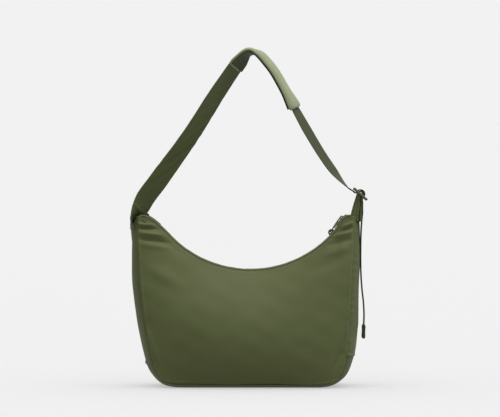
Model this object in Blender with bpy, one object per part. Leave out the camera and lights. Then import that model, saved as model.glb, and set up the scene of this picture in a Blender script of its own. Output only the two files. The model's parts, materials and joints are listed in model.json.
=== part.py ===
"""A zipped hobo bag on an adjustable padded shoulder strap, at its real size.

Metres, +Z up. The front faces -Y and the base rests on the plane z = 0, with the origin under the
middle of the base. The strap stands up, the zip is shut and the free end of the webbing hangs down
on the +X side.
"""

import math

import bmesh
import bpy
import numpy as np
from mathutils import Matrix, Vector

# ---------------------------------------------------------------- driving dimensions (metres)

BODY_HALF_WIDTH = 0.171  # middle of the bag to its side seam, at the horns
HORN_HEIGHT = 0.265  # base to the tips of the two horns
BASE_HALF_DEPTH = 0.062  # gusset, seam to middle, at the base
HORN_HALF_DEPTH = 0.019  # gusset, seam to middle, at the horns
BASE_SEAM_LIFT = 0.005  # height of the base seam above the ground
BELLY = 0.027  # how far the stuffed panels stand out beyond the straight line
SIDE_BULGE = 0.0075  # how far the gussets stand out beyond the side seams
GUSSET_SIDE = BODY_HALF_WIDTH + SIDE_BULGE

ZIP_RADIUS = 0.175  # the top edge is an arc round a point above the bag
SCOOP_DEPTH = 0.0847  # tips of the horns down to the lowest point of the top edge
ZIP_LOW = HORN_HEIGHT - SCOOP_DEPTH
ZIP_CENTRE_X = 0.0075
ZIP_HALF_SPAN = math.radians(49.5)  # from straight down to either end of the zip
SLIDER_ANGLE = math.radians(47.5)  # where the slider rests, from straight down
OPENING_HALF = 0.016  # middle of the zip to the top edge of a panel
HORN_FLAT = 0.013  # the top edge stays nearly level this far in from a horn's tip
HORN_DROP = 0.0005  # fall of the top edge over that length

SHELL = 0.0020  # padded outer fabric
LINING = 0.0006
LINING_CLEAR = 0.0024  # panels to their lining
TAPE = 0.0006
FACING = 0.0010
BOARD = 0.0018
BOARD_HALF_LENGTH = 0.0958
BOARD_HALF_DEPTH = 0.0335
BOARD_CORNER = 0.012
SEAM_JOINT = 0.0006  # gap between a gusset and the base, as a share of the seam outline
GAP = 0.0004  # between pieces that touch in the real bag

COIL_INNER = 0.0009  # middle of the zip to the coil
TAPE_INNER = 0.0010
COIL_WIDTH = 0.0022
COIL_HEIGHT = 0.0018
TAPE_HALF = 0.0132
FACING_OUTER = 0.0164
FACING_MIDDLE = 0.011
FACING_INNER = 0.0056
FACING_MIDDLE_RISE = 0.0008  # the facing stands higher towards the zip
FACING_INNER_RISE = 0.0012
ZIP_END_HALF = 0.0044
ZIP_END_CLEAR = math.radians(0.6)
FACING_START = 0.035  # share of the top edge that the facings leave free at either horn
LEFT_END_START = 0.056  # share of the top edge where the left end tab starts, clear of the strap

SLIDER_LENGTH = 0.011
SLIDER_HALF_WIDTH = 0.0043
SLIDER_PLATE = 0.0013
SLIDER_WEB = 0.0010
SLIDER_CLEAR = 0.0005
BRIDGE_HEIGHT = 0.0036
BRIDGE_WIDTH = 0.0018
BRIDGE_BAR = 0.0010
BRIDGE_REACH = 0.0036  # middle of the slider to either foot of its bridge
BRIDGE_SUNK = 0.0003  # the feet run this deep into the plate
LINK_BAR = 0.0012
LINK_LENGTH = 0.0090
LINK_HALF_WIDTH = 0.0030
PULL_LENGTH = 0.0220
PULL_HALF_WIDTH = 0.0026
PULL_THICK = 0.0026
PULL_HOLE = 0.0011
PULL_LIFT = math.radians(5.0)  # the pull lies this far above the line of the zip

FOLD_RISE = 0.021  # tips of the horns up to the fold line
FOLD_HEIGHT = HORN_HEIGHT + FOLD_RISE  # the strap folds to the front or back about this line
FOLD_RADIUS = 0.0155  # room that the strap's ends turn in
STRAP_RISE = 0.235  # fold line to the top of the strap's centre line
STRAP_WIDTH = 0.040
STRAP_THICK = 0.0020
PAD_MARGIN = 0.0015  # the pad is this much wider than the strap at either edge
PAD_WIDTH = STRAP_WIDTH + 2 * PAD_MARGIN
PAD_SHELL = 0.0010
FOAM = 0.0030
FOAM_MARGIN = 0.0045  # edge of the pad to its foam
FOAM_WIDTH = PAD_WIDTH - 2 * FOAM_MARGIN
PAD_START = 0.471  # the pad's ends, as shares of the strap's whole length
PAD_END = 0.738
PAD_SPLICE = 0.53  # fabric strap and webbing meet here, inside the pad
SPLICE_CLEAR = 0.004  # share of the strap's length from the splice to either end
END_ROOM = 1.33  # the strap's rounded lower end is an ellipse this much wider than the room
WEBBING_WIDTH = 0.025
WEBBING_THICK = 0.0016

GLIDE_OUT = 0.0005  # middle bar beyond the gusset's side
GLIDE_X = GUSSET_SIDE + GLIDE_OUT
GLIDE_RISE = 0.013  # centre bar above the fold line
GLIDE_SLOPE = math.radians(42.0)  # the far end lies lower than the near end
GLIDE_LENGTH = 0.028
GLIDE_BAR = 0.0042
GLIDE_THICK = 0.0034
GLIDE_RAIL = 0.0020
GLIDE_SIDE_CLEAR = 0.0006
GLIDE_TILT_CLEAR = 0.0042  # glide's mid plane to the webbing that passes under its near bar
TAB_THICK = 0.0013
TAB_HALF_WIDTH = 0.011
TAB_FOOT = 0.0105  # the tab's legs start this far below the fold line
TAB_STRAIGHT = 0.008  # length of the legs' straight run
TAB_SHIFT = 0.0030  # the legs' middle lies this far inside the adjuster's middle bar

TAIL_OUT = 0.0039  # top of the tail beyond the gusset's side
TAIL_X = GUSSET_SIDE + TAIL_OUT
TAIL_TOP = FOLD_HEIGHT - FOLD_RADIUS - 0.0010
HEM_LENGTH = 0.022
HEM_THICK = 0.0048

# ---------------------------------------------------------------- outlines

# Side seams from horn to base: shares of the half width, and of the height above the base seam.
LEFT_SEAM = [
    (-1.000, 1.000),
    (-1.000, 0.810),
    (-0.965, 0.555),
    (-0.912, 0.337),
    (-0.868, 0.183),
    (-0.818, 0.082),
    (-0.737, 0.020),
    (-0.655, 0.003),
    (-0.585, 0.000),
]
RIGHT_SEAM = [
    (1.000, 1.000),
    (0.994, 0.800),
    (0.977, 0.615),
    (0.949, 0.331),
    (0.924, 0.150),
    (0.877, 0.055),
    (0.795, 0.012),
    (0.700, 0.001),
    (0.620, 0.000),
]

# Centre line of the strap, left end to tri-glide: share of the half width, share of the rise
# above the fold line, and how far the strap is turned about its own length, in degrees. At a
# positive turn the side that faces into the loop shows from the front.
STRAP_ROUTE = [
    (-0.990, -0.062, 34.0),
    (-0.915, 0.025, 48.0),
    (-0.800, 0.140, 49.0),
    (-0.515, 0.428, 38.0),
    (-0.190, 0.796, 29.0),
    (-0.056, 0.932, 27.0),
    (0.036, 0.998, 8.0),
    (0.117, 0.985, -12.0),
    (0.210, 0.919, -14.0),
    (0.368, 0.736, -15.0),
    (0.462, 0.612, -29.0),
    (0.556, 0.489, -34.0),
    (0.801, 0.211, -30.0),
    (0.890, 0.132, -10.0),
    (0.940, 0.094, 0.0),
]

# The free end of the webbing: metres beyond the gusset's side, and metres below the fold line.
TAIL_ROUTE = [
    (0.0039, 0.0165),
    (0.0027, 0.0300),
    (0.0018, 0.0510),
    (0.0017, 0.0740),
    (0.0023, 0.1100),
    (0.0040, 0.1360),
    (0.0058, 0.1560),
    (0.0065, 0.1740),
    (0.0058, 0.1920),
    (0.0053, 0.2120),
]

# ---------------------------------------------------------------- curves and grids


def lengths_along(points):
    """Distance of each point from the first, along the polyline."""
    steps = np.linalg.norm(np.diff(points, axis=0), axis=1)
    return np.concatenate([[0.0], np.cumsum(steps)])


def at_shares(points, shares):
    """Points at these shares of a polyline's length."""
    along = lengths_along(points)
    return np.stack([np.interp(np.asarray(shares) * along[-1], along, axis) for axis in points.T], axis=1)


def smooth_curve(knots, count=400):
    """Points in even steps along a smooth curve through the knots."""
    knots = np.array(knots, float)
    t = lengths_along(knots)
    slopes = np.gradient(knots, t, axis=0)
    fine = np.linspace(0.0, t[-1], 40 * len(knots))
    i = np.clip(np.searchsorted(t, fine, side="right") - 1, 0, len(t) - 2)
    span = (t[i + 1] - t[i])[:, None]
    s = (fine - t[i])[:, None] / span
    curve = (1 + 2 * s) * (1 - s) ** 2 * knots[i] + s * (1 - s) ** 2 * span * slopes[i]
    curve += s**2 * (3 - 2 * s) * knots[i + 1] + s**2 * (s - 1) * span * slopes[i + 1]
    return at_shares(curve, np.linspace(0.0, 1.0, count))


def seam_side(shares):
    """A side seam in x and z, from the horn down to the flat of the base."""
    rise = HORN_HEIGHT - BASE_SEAM_LIFT
    return smooth_curve([(x * BODY_HALF_WIDTH, BASE_SEAM_LIFT + z * rise) for x, z in shares])


def seam_outline():
    """The seam round a panel in x and z: left horn, base, right horn."""
    return np.concatenate([seam_side(LEFT_SEAM), seam_side(RIGHT_SEAM)[::-1]])


def gusset_half_depth(z):
    """Half the gusset's width, which narrows from the base to the horns."""
    height = np.clip((z - BASE_SEAM_LIFT) / (HORN_HEIGHT - BASE_SEAM_LIFT), 0.0, 1.0)
    return HORN_HALF_DEPTH + (BASE_HALF_DEPTH - HORN_HALF_DEPTH) * (1.0 - height**1.25)


ZIP_CENTRE = np.array([ZIP_CENTRE_X, ZIP_LOW + ZIP_RADIUS])


def on_zip(angle, lift=0.0):
    """A point in x and z on the zip's arc, raised towards the arc's centre."""
    radius = ZIP_RADIUS - lift
    return ZIP_CENTRE + radius * np.array([math.sin(angle), -math.cos(angle)])


def top_edge(lift=0.0):
    """The top edge of a panel in x and z: left horn, the arc of the zip, right horn."""
    arc = [on_zip(angle, lift) for angle in np.linspace(-ZIP_HALF_SPAN, ZIP_HALF_SPAN, 15)]
    horn = np.array([BODY_HALF_WIDTH, HORN_HEIGHT + lift])
    inside = np.array([BODY_HALF_WIDTH - HORN_FLAT, HORN_HEIGHT - HORN_DROP + lift])
    flip = np.array([-1.0, 1.0])
    return smooth_curve([horn * flip, inside * flip] + arc + [inside, horn])


CORNER_SHARE = 0.325  # the panels' lower corners, as shares of the seam from either horn


def panel_point(u, v):
    """Front panel's outer surface: u from left to right and v from the base to the zip."""
    seam = seam_outline()
    low = at_shares(seam, CORNER_SHARE + np.array([0.0, u, 1.0]) * (1.0 - 2 * CORNER_SHARE))
    left = at_shares(seam, [CORNER_SHARE * (1.0 - v)])[0]
    right = at_shares(seam, [1.0 - CORNER_SHARE * (1.0 - v)])[0]
    high = at_shares(top_edge(), [0.0, u, 1.0])
    flat = (1 - v) * low[1] + v * high[1] + (1 - u) * left + u * right
    flat -= (1 - v) * ((1 - u) * low[0] + u * low[2]) + v * ((1 - u) * high[0] + u * high[2])
    depth_low = (1 - v) * gusset_half_depth(low[1][1])
    side = (1 - u) * gusset_half_depth(left[1]) + u * gusset_half_depth(right[1])
    depth_high = v * (OPENING_HALF + (HORN_HALF_DEPTH - OPENING_HALF) * abs(2 * u - 1) ** 6)
    corners = (1 - v) * gusset_half_depth(low[0][1]) * (1 - u) + (1 - v) * gusset_half_depth(low[2][1]) * u
    corners += v * HORN_HALF_DEPTH
    depth = depth_low + depth_high + side - corners
    depth += BELLY * (4 * u * (1 - u)) ** 0.85 * (4 * v * (1 - v)) ** 0.9
    return np.array([flat[0], -depth, flat[1]])


def grid_of(surface, us, vs):
    return np.array([[surface(u, v) for v in vs] for u in us])


def grid_normals(grid):
    """Unit normals of a grid of points, along (change with the row) x (change with the column)."""
    across = np.gradient(grid, axis=0)
    along = np.gradient(grid, axis=1)
    normals = np.cross(across, along)
    return normals / np.linalg.norm(normals, axis=2, keepdims=True)


# ---------------------------------------------------------------- materials and objects


def fabric_material(name, colour, roughness=0.8, metallic=0.0):
    material = bpy.data.materials.new(name)
    material.use_nodes = True
    shader = material.node_tree.nodes["Principled BSDF"]
    shader.inputs["Base Color"].default_value = (*colour, 1.0)
    shader.inputs["Roughness"].default_value = roughness
    shader.inputs["Metallic"].default_value = metallic
    material.diffuse_color = (*colour, 1.0)
    return material


def make_materials():
    return {
        "shell": fabric_material("shell_fabric", (0.105, 0.125, 0.062)),
        "gusset": fabric_material("gusset_fabric", (0.095, 0.115, 0.054)),
        "facing": fabric_material("facing_fabric", (0.085, 0.105, 0.048)),
        "lining": fabric_material("lining_fabric", (0.050, 0.060, 0.032), 0.7),
        "board": fabric_material("stiff_board", (0.030, 0.032, 0.026), 0.6),
        "tape": fabric_material("zip_tape", (0.060, 0.075, 0.032)),
        "coil": fabric_material("zip_coil", (0.050, 0.062, 0.027), 0.45),
        "slider": fabric_material("slider_paint", (0.055, 0.068, 0.030), 0.35, 0.2),
        "pull": fabric_material("pull_cord", (0.110, 0.130, 0.066), 0.7),
        "strap": fabric_material("strap_fabric", (0.070, 0.088, 0.036)),
        "pad": fabric_material("pad_fabric", (0.130, 0.150, 0.085)),
        "foam": fabric_material("pad_foam", (0.350, 0.350, 0.330), 0.9),
        "webbing": fabric_material("webbing", (0.045, 0.060, 0.020), 0.85),
        "glide": fabric_material("glide_plastic", (0.070, 0.085, 0.038), 0.4),
    }


def axis_empty(name, place, parent=None):
    """An empty on a joint's axis, which carries the pieces that turn about it."""
    empty = bpy.data.objects.new(name, None)
    empty.empty_display_size = 0.02
    bpy.context.scene.collection.objects.link(empty)
    empty.parent = parent
    empty.location = Vector(place) - (parent.matrix_world.translation if parent else Vector())
    bpy.context.view_layer.update()
    return empty


def add_object(name, mesh, material, parent, origin=None):
    """Puts a mesh of world points into the scene with its origin at a point, under its parent."""
    base = parent.matrix_world.translation
    origin = Vector(origin) if origin is not None else base.copy()
    mesh.transform(Matrix.Translation(-origin))
    mesh.materials.append(material)
    obj = bpy.data.objects.new(name, mesh)
    bpy.context.scene.collection.objects.link(obj)
    obj.parent = parent
    obj.location = origin - base
    return obj


def sheet_object(name, grid, thickness, material, parent, offset=-1.0, smooth=True):
    """A cloth sheet given by a grid of points, thickened by a Solidify modifier.

    At offset -1 the thickness lies behind the grid's normals, and at 0 it is half on either side.
    """
    rows, columns = grid.shape[:2]
    bm = bmesh.new()
    verts = [[bm.verts.new(point) for point in row] for row in grid]
    for i in range(rows - 1):
        for j in range(columns - 1):
            bm.faces.new((verts[i][j], verts[i + 1][j], verts[i + 1][j + 1], verts[i][j + 1]))
    mesh = bpy.data.meshes.new(name)
    bm.to_mesh(mesh)
    bm.free()
    if smooth:
        mesh.shade_smooth()
        mesh.set_sharp_from_angle(angle=math.radians(40))
    obj = add_object(name, mesh, material, parent)
    solidify = obj.modifiers.new("Thickness", "SOLIDIFY")
    solidify.thickness = thickness
    solidify.offset = offset
    return obj


def prism_mesh(name, outline, direction):
    """A closed outline of 3-D points, extruded by a vector."""
    bm = bmesh.new()
    face = bm.faces.new([bm.verts.new(point) for point in outline])
    grown = bmesh.ops.extrude_face_region(bm, geom=[face])["geom"]
    moved = [item for item in grown if isinstance(item, bmesh.types.BMVert)]
    bmesh.ops.translate(bm, verts=moved, vec=direction)
    bmesh.ops.recalc_face_normals(bm, faces=bm.faces)
    mesh = bpy.data.meshes.new(name)
    bm.to_mesh(mesh)
    bm.free()
    return mesh


def helper_object(name, mesh, parent):
    """A shape that a Boolean uses and the build leaves out."""
    obj = bpy.data.objects.new(name, mesh)
    bpy.context.scene.collection.objects.link(obj)
    obj.parent = parent
    obj.matrix_parent_inverse = parent.matrix_world.inverted()
    obj.hide_render = True
    obj.display_type = "WIRE"
    return obj


def combine(obj, other, operation):
    boolean = obj.modifiers.new(operation.title(), "BOOLEAN")
    boolean.operation = operation
    boolean.object = other


def bevel(obj, width, segments=2):
    modifier = obj.modifiers.new("Edges", "BEVEL")
    modifier.width = width
    modifier.segments = segments
    modifier.limit_method = "ANGLE"
    modifier.angle_limit = math.radians(40)


# ---------------------------------------------------------------- body of the bag


def make_panels(root, materials):
    """The two big panels, which hold the same shape and face opposite ways."""
    front = grid_of(panel_point, np.linspace(0, 1, 23), np.linspace(0, 1, 11))
    sheet_object("front_panel", front, SHELL, materials["shell"], root)
    back = front[::-1] * np.array([1.0, -1.0, 1.0])
    sheet_object("back_panel", back, SHELL, materials["shell"], root)


def make_panel_linings(root, materials):
    behind = SHELL + LINING_CLEAR
    inset = grid_of(panel_point, np.linspace(0.035, 0.965, 21), np.linspace(0.085, 0.93, 12))
    front = inset - behind * grid_normals(inset)
    sheet_object("lining_front", front, LINING, materials["lining"], root)
    back = front[::-1] * np.array([1.0, -1.0, 1.0])
    sheet_object("lining_back", back, LINING, materials["lining"], root)


ACROSS = np.array([-1.0, -0.86, -0.62, 0.0, 0.62, 0.86, 1.0])


def gusset_grid(start, end, count, inset, sunk=0.0):
    """The strip between the panels, from one share of the seam to another.

    On the sides it stands out in a round, and on the base it drops to the ground and is flat.
    """
    outline = at_shares(seam_outline(), np.linspace(start, end, count))
    tangent = np.gradient(outline, axis=0)
    tangent /= np.linalg.norm(tangent, axis=1, keepdims=True)
    outward = np.stack([tangent[:, 1], -tangent[:, 0]], axis=1)
    grid = np.zeros((count, len(ACROSS), 3))
    for i, (point, normal) in enumerate(zip(outline, outward)):
        half = gusset_half_depth(point[1]) - inset
        downward = max(0.0, -normal[1]) ** 2
        stand_out = SIDE_BULGE * (1 - downward) + BASE_SEAM_LIFT * downward
        for j, side in enumerate(ACROSS):
            rounded = 1.0 - side**2
            flat = min(1.0, (1.0 - abs(side)) / 0.38)
            height = stand_out * (rounded * (1 - downward) + flat * downward) - sunk
            x, z = point + normal * height
            grid[i, j] = x, side * half, z
    return grid[:, ::-1]


LEFT_BASE_SEAM = 0.288  # where the side gussets are sewn to the base, as shares of the seam
RIGHT_BASE_SEAM = 0.728
HORN_SHARE = 0.004  # the gussets stop this far short of the horns' tips


def make_gusset(root, materials):
    inset = SHELL + GAP
    left = gusset_grid(HORN_SHARE, LEFT_BASE_SEAM - SEAM_JOINT, 12, inset)
    sheet_object("left_gusset", left, SHELL, materials["gusset"], root)
    base = gusset_grid(LEFT_BASE_SEAM + SEAM_JOINT, RIGHT_BASE_SEAM - SEAM_JOINT, 21, inset)
    sheet_object("base_panel", base, SHELL, materials["gusset"], root)
    right = gusset_grid(RIGHT_BASE_SEAM + SEAM_JOINT, 1.0 - HORN_SHARE, 12, inset)
    sheet_object("right_gusset", right, SHELL, materials["gusset"], root)
    lining_inset = SHELL + LINING + 6 * GAP
    lining = gusset_grid(0.03, 0.97, 41, lining_inset, SHELL + LINING_CLEAR)
    sheet_object("lining_gusset", lining, LINING, materials["lining"], root)


def make_base_board(root, materials):
    """The stiff insert that keeps the base flat, lying on the lining."""
    low = SHELL + LINING_CLEAR + LINING + GAP
    outline = []
    for corner in range(4):
        cx = (BOARD_HALF_LENGTH - BOARD_CORNER) * (1 if corner in (0, 3) else -1)
        cy = (BOARD_HALF_DEPTH - BOARD_CORNER) * (1 if corner in (0, 1) else -1)
        for step in range(5):
            angle = math.pi / 2 * (corner + step / 4)
            x = cx + BOARD_CORNER * math.cos(angle)
            y = cy + BOARD_CORNER * math.sin(angle)
            outline.append((x, y, low))
    mesh = prism_mesh("base_board", outline, (0, 0, BOARD))
    add_object("base_board", mesh, materials["board"], root, (0, 0, low))


# ---------------------------------------------------------------- zip


def strip_grid(curve_for, ys, lifts, count, start=0.0, end=1.0):
    """A strip along a curve of x and z that depends on its lift, one row of points per step."""
    shares = np.linspace(start, end, count)
    columns = [at_shares(curve_for(lift), shares) for lift in lifts]
    grid = np.zeros((count, len(ys), 3))
    for j, (column, y) in enumerate(zip(columns, ys)):
        grid[:, j] = np.stack([column[:, 0], np.full(count, y), column[:, 1]], axis=1)
    return grid


def zip_arc(lift=0.0):
    angles = np.linspace(-ZIP_HALF_SPAN, ZIP_HALF_SPAN, 60)
    return np.array([on_zip(angle, lift) for angle in angles])


def make_zip(root, materials):
    """Facings over the panels' edges, then the tapes and the two rows of coil."""
    lift = 1.5 * GAP + FACING
    facing_ys = np.array([-FACING_OUTER, -FACING_MIDDLE, -FACING_INNER])
    lifts = (lift, lift + FACING_MIDDLE_RISE, lift + FACING_INNER_RISE)
    facing = strip_grid(top_edge, facing_ys, lifts, 43, FACING_START, 1.0 - FACING_START)
    tape_ys = np.array([-TAPE_HALF, -TAPE_INNER])
    tape = strip_grid(zip_arc, tape_ys, (0.0, 0.0), 25)
    inner = -COIL_INNER
    coil = strip_grid(zip_arc, np.array([inner - COIL_WIDTH, inner]), (GAP + COIL_HEIGHT,) * 2, 25)
    flip = np.array([1.0, -1.0, 1.0])
    for name, grid, thick, material in (
        ("zip_facing", facing, FACING, "facing"),
        ("zip_tape", tape, TAPE, "tape"),
        ("zip_coil", coil, COIL_HEIGHT, "coil"),
    ):
        sheet_object(f"{name}_front", grid, thick, materials[material], root)
        sheet_object(f"{name}_back", grid[::-1] * flip, thick, materials[material], root)


def make_zip_ends(root, materials):
    """Folded tabs that close the zip's two ends."""
    thick = TAPE + COIL_HEIGHT
    edge = top_edge(thick)
    beyond = ZIP_HALF_SPAN + ZIP_END_CLEAR
    ends = []
    for angle in (-beyond, beyond):
        nearest = np.argmin(np.linalg.norm(edge - on_zip(angle, thick), axis=1))
        ends.append(nearest / (len(edge) - 1))
    ys = np.array([-ZIP_END_HALF, 0.0, ZIP_END_HALF])
    left = strip_grid(top_edge, ys, (thick,) * 3, 7, LEFT_END_START, ends[0])
    sheet_object("zip_end_left", left, thick, materials["tape"], root)
    right = strip_grid(top_edge, ys, (thick,) * 3, 7, ends[1], 1.0 - FACING_START)
    sheet_object("zip_end_right", right, thick, materials["tape"], root)


def make_slider(axis, materials):
    """The slider's two plates joined by a web, and the bridge that holds the pull."""
    plate_low = -TAPE - SLIDER_CLEAR
    plate_high = GAP + COIL_HEIGHT + SLIDER_CLEAR
    half, web = SLIDER_HALF_WIDTH, SLIDER_WEB / 2
    section = [
        (-half, plate_low - SLIDER_PLATE),
        (half, plate_low - SLIDER_PLATE),
        (half, plate_low),
        (web, plate_low),
        (web, plate_high),
        (half, plate_high),
        (half, plate_high + SLIDER_PLATE),
        (-half, plate_high + SLIDER_PLATE),
        (-half, plate_high),
        (-web, plate_high),
        (-web, plate_low),
        (-half, plate_low),
    ]
    place = on_zip(SLIDER_ANGLE)
    along = np.array([math.cos(SLIDER_ANGLE), math.sin(SLIDER_ANGLE)])
    up = np.array([-along[1], along[0]])
    origin = Vector((place[0], 0.0, place[1]))

    def at(forward, side, lift):
        x, z = place + along * forward + up * lift
        return (x, side, z)

    outline = [at(-SLIDER_LENGTH / 2, y, q) for y, q in section]
    direction = Vector(at(SLIDER_LENGTH / 2, 0, 0)) - Vector(at(-SLIDER_LENGTH / 2, 0, 0))
    slider = add_object(
        "zip_slider", prism_mesh("zip_slider", outline, direction), materials["slider"], axis, origin
    )
    top = plate_high + SLIDER_PLATE
    reach = BRIDGE_REACH
    hoop = [
        (-reach, top - BRIDGE_SUNK),
        (-reach + BRIDGE_BAR, top - BRIDGE_SUNK),
        (-reach + BRIDGE_BAR, top + BRIDGE_HEIGHT - BRIDGE_BAR),
        (reach - BRIDGE_BAR, top + BRIDGE_HEIGHT - BRIDGE_BAR),
        (reach - BRIDGE_BAR, top - BRIDGE_SUNK),
        (reach, top - BRIDGE_SUNK),
        (reach, top + BRIDGE_HEIGHT),
        (-reach, top + BRIDGE_HEIGHT),
    ]
    points = [at(f, -BRIDGE_WIDTH / 2, q) for f, q in hoop]
    bridge = helper_object("bridge_helper", prism_mesh("bridge_helper", points, (0, BRIDGE_WIDTH, 0)), axis)
    combine(slider, bridge, "UNION")


def pull_pivot():
    """The middle of the bar under the slider's bridge, in x and z."""
    top = GAP + COIL_HEIGHT + SLIDER_CLEAR + SLIDER_PLATE
    lift = top + (BRIDGE_HEIGHT - BRIDGE_BAR) / 2
    return on_zip(SLIDER_ANGLE, lift)


def make_pull(axis, materials):
    """A wire link through the bridge, and the moulded cord loop that hangs on it."""
    pivot = pull_pivot()
    heading = SLIDER_ANGLE + PULL_LIFT
    along = np.array([math.cos(heading), math.sin(heading)])
    up = np.array([-along[1], along[0]])

    def at(forward, side, lift):
        x, z = pivot + along * forward + up * lift
        return (x, side, z)

    half = LINK_BAR / 2
    origin = Vector((pivot[0], 0.0, pivot[1]))

    def slab(name, start, end, half_width, thick, corner):
        outline = []
        for quarter, (cf, cs) in enumerate(
            ((end - corner, half_width - corner), (start + corner, half_width - corner),
             (start + corner, corner - half_width), (end - corner, corner - half_width))
        ):
            for step in range(4):
                angle = math.pi / 2 * (quarter + step / 3)
                outline.append(at(cf + corner * math.cos(angle), cs + corner * math.sin(angle), -thick / 2))
        return prism_mesh(name, outline, Vector(at(0, 0, thick)) - Vector(at(0, 0, 0)))

    link = add_object(
        "zip_pull_link",
        slab("zip_pull_link", -half, LINK_LENGTH, LINK_HALF_WIDTH, LINK_BAR, half),
        materials["slider"], axis, origin,
    )
    hole = slab("link_hole", half, LINK_LENGTH - LINK_BAR, LINK_HALF_WIDTH - LINK_BAR, 3 * LINK_BAR, 0.0003)
    combine(link, helper_object("link_hole", hole, axis), "DIFFERENCE")
    start = LINK_LENGTH + GAP
    tab = add_object(
        "zip_pull_tab",
        slab("zip_pull_tab", start, start + PULL_LENGTH, PULL_HALF_WIDTH, PULL_THICK, 0.0020),
        materials["pull"], axis, origin,
    )
    end = start + PULL_LENGTH - 0.0035
    hole = slab("tab_hole", end - PULL_HOLE, end + PULL_HOLE, PULL_HOLE, 2 * PULL_THICK, 0.8 * PULL_HOLE)
    combine(tab, helper_object("tab_hole", hole, axis), "DIFFERENCE")


# ---------------------------------------------------------------- strap


def strap_route():
    """Dense centre line of the strap in x and z, and its turn in degrees at each point."""
    knots = np.array([(x * BODY_HALF_WIDTH, FOLD_HEIGHT + z * STRAP_RISE) for x, z, _ in STRAP_ROUTE])
    line = smooth_curve(knots, 1200)
    nearest = [int(np.argmin(np.linalg.norm(line - knot, axis=1))) for knot in knots]
    turns = np.interp(np.arange(len(line)), nearest, [turn for _, _, turn in STRAP_ROUTE])
    return line, turns


def band_frames(line, turns):
    """For each point: the place, the direction across the band and the one out of the loop."""
    tangent = np.gradient(line, axis=0)
    tangent /= np.linalg.norm(tangent, axis=1, keepdims=True)
    outward = np.stack([-tangent[:, 1], tangent[:, 0]], axis=1)
    turn = np.radians(turns)[:, None]
    y_axis = np.array([[0.0, 1.0, 0.0]])
    out3 = np.stack([outward[:, 0], np.zeros(len(line)), outward[:, 1]], axis=1)
    place = np.stack([line[:, 0], np.zeros(len(line)), line[:, 1]], axis=1)
    across = y_axis * np.cos(turn) - out3 * np.sin(turn)
    outer = out3 * np.cos(turn) + y_axis * np.sin(turn)
    return place, across, outer


def band_grid(line, turns, halves, offsets, lifts):
    """Rows along a band: offsets are shares of its half width, lifts go out of the loop."""
    place, across, outer = band_frames(line, turns)
    grid = np.zeros((len(line), len(offsets), 3))
    for j, (offset, lift) in enumerate(zip(offsets, lifts)):
        grid[:, j] = place + across * (offset * halves)[:, None] + outer * lift
    return grid


def round_end(line, halves):
    """Narrows a band where it would leave the round room about the fold line."""
    below = np.clip(FOLD_HEIGHT - line[:, 1], 0.0, FOLD_RADIUS)
    room = np.sqrt(np.maximum(FOLD_RADIUS**2 - below**2, 0.0))
    return np.where(below > 0, np.minimum(halves, np.maximum(room, 0.002)), halves)


def resample(line, turns, start, end, count):
    shares = np.linspace(start, end, count)
    both = at_shares(line, shares)
    along = lengths_along(line)
    return both, np.interp(shares * along[-1], along, turns)


def make_strap_fabric(axis, materials):
    line, turns = strap_route()
    line, turns = resample(line, turns, 0.0, PAD_SPLICE - SPLICE_CLEAR, 36)
    halves = np.full(len(line), STRAP_WIDTH / 2)
    halves = np.minimum(halves, round_end(line, halves / END_ROOM) * END_ROOM)
    grid = band_grid(line, turns, halves, (-1.0, 0.0, 1.0), (0.0, 0.0, 0.0))
    sheet_object("strap_fabric", grid, STRAP_THICK, materials["strap"], axis, 0.0)


def make_pad(axis, materials):
    """The shoulder pad: foam over the strap, a cover round it and a strip under it."""
    line, turns = strap_route()
    line, turns = resample(line, turns, PAD_START, PAD_END, 29)
    halves = np.full(len(line), PAD_WIDTH / 2)
    under = -STRAP_THICK / 2 - GAP
    foam_low = STRAP_THICK / 2 + 3 * GAP
    top = foam_low + FOAM + 2 * GAP + PAD_SHELL
    offsets = (1.0, 0.985, 0.80, 0.0, -0.80, -0.985, -1.0)
    lifts = (under, foam_low + 0.5 * FOAM, top - 0.0008, top, top - 0.0008, foam_low + 0.5 * FOAM, under)
    cover = band_grid(line, turns, halves, offsets, lifts)
    sheet_object("pad_cover", cover, PAD_SHELL, materials["pad"], axis)
    low = band_grid(line, turns, halves, (-1.0, 0.0, 1.0), (under - 2 * GAP,) * 3)
    sheet_object("pad_underside", low, PAD_SHELL, materials["strap"], axis)
    line, turns = resample(line, turns, 0.02, 0.98, 27)
    halves = np.full(len(line), FOAM_WIDTH / 2)
    foam = band_grid(line, turns, halves, (-1.0, 0.0, 1.0), (foam_low + FOAM,) * 3)
    sheet_object("pad_foam", foam, FOAM, materials["foam"], axis)


GLIDE_CENTRE = np.array([GLIDE_X, FOLD_HEIGHT + GLIDE_RISE])
GLIDE_ALONG = np.array([math.cos(GLIDE_SLOPE), -math.sin(GLIDE_SLOPE)])
GLIDE_UP = np.array([math.sin(GLIDE_SLOPE), math.cos(GLIDE_SLOPE)])


def bar_clearance():
    """Radius about the centre bar's middle that the bar's corners leave free."""
    return math.hypot(GLIDE_BAR, GLIDE_THICK) / 2 + GAP


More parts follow.
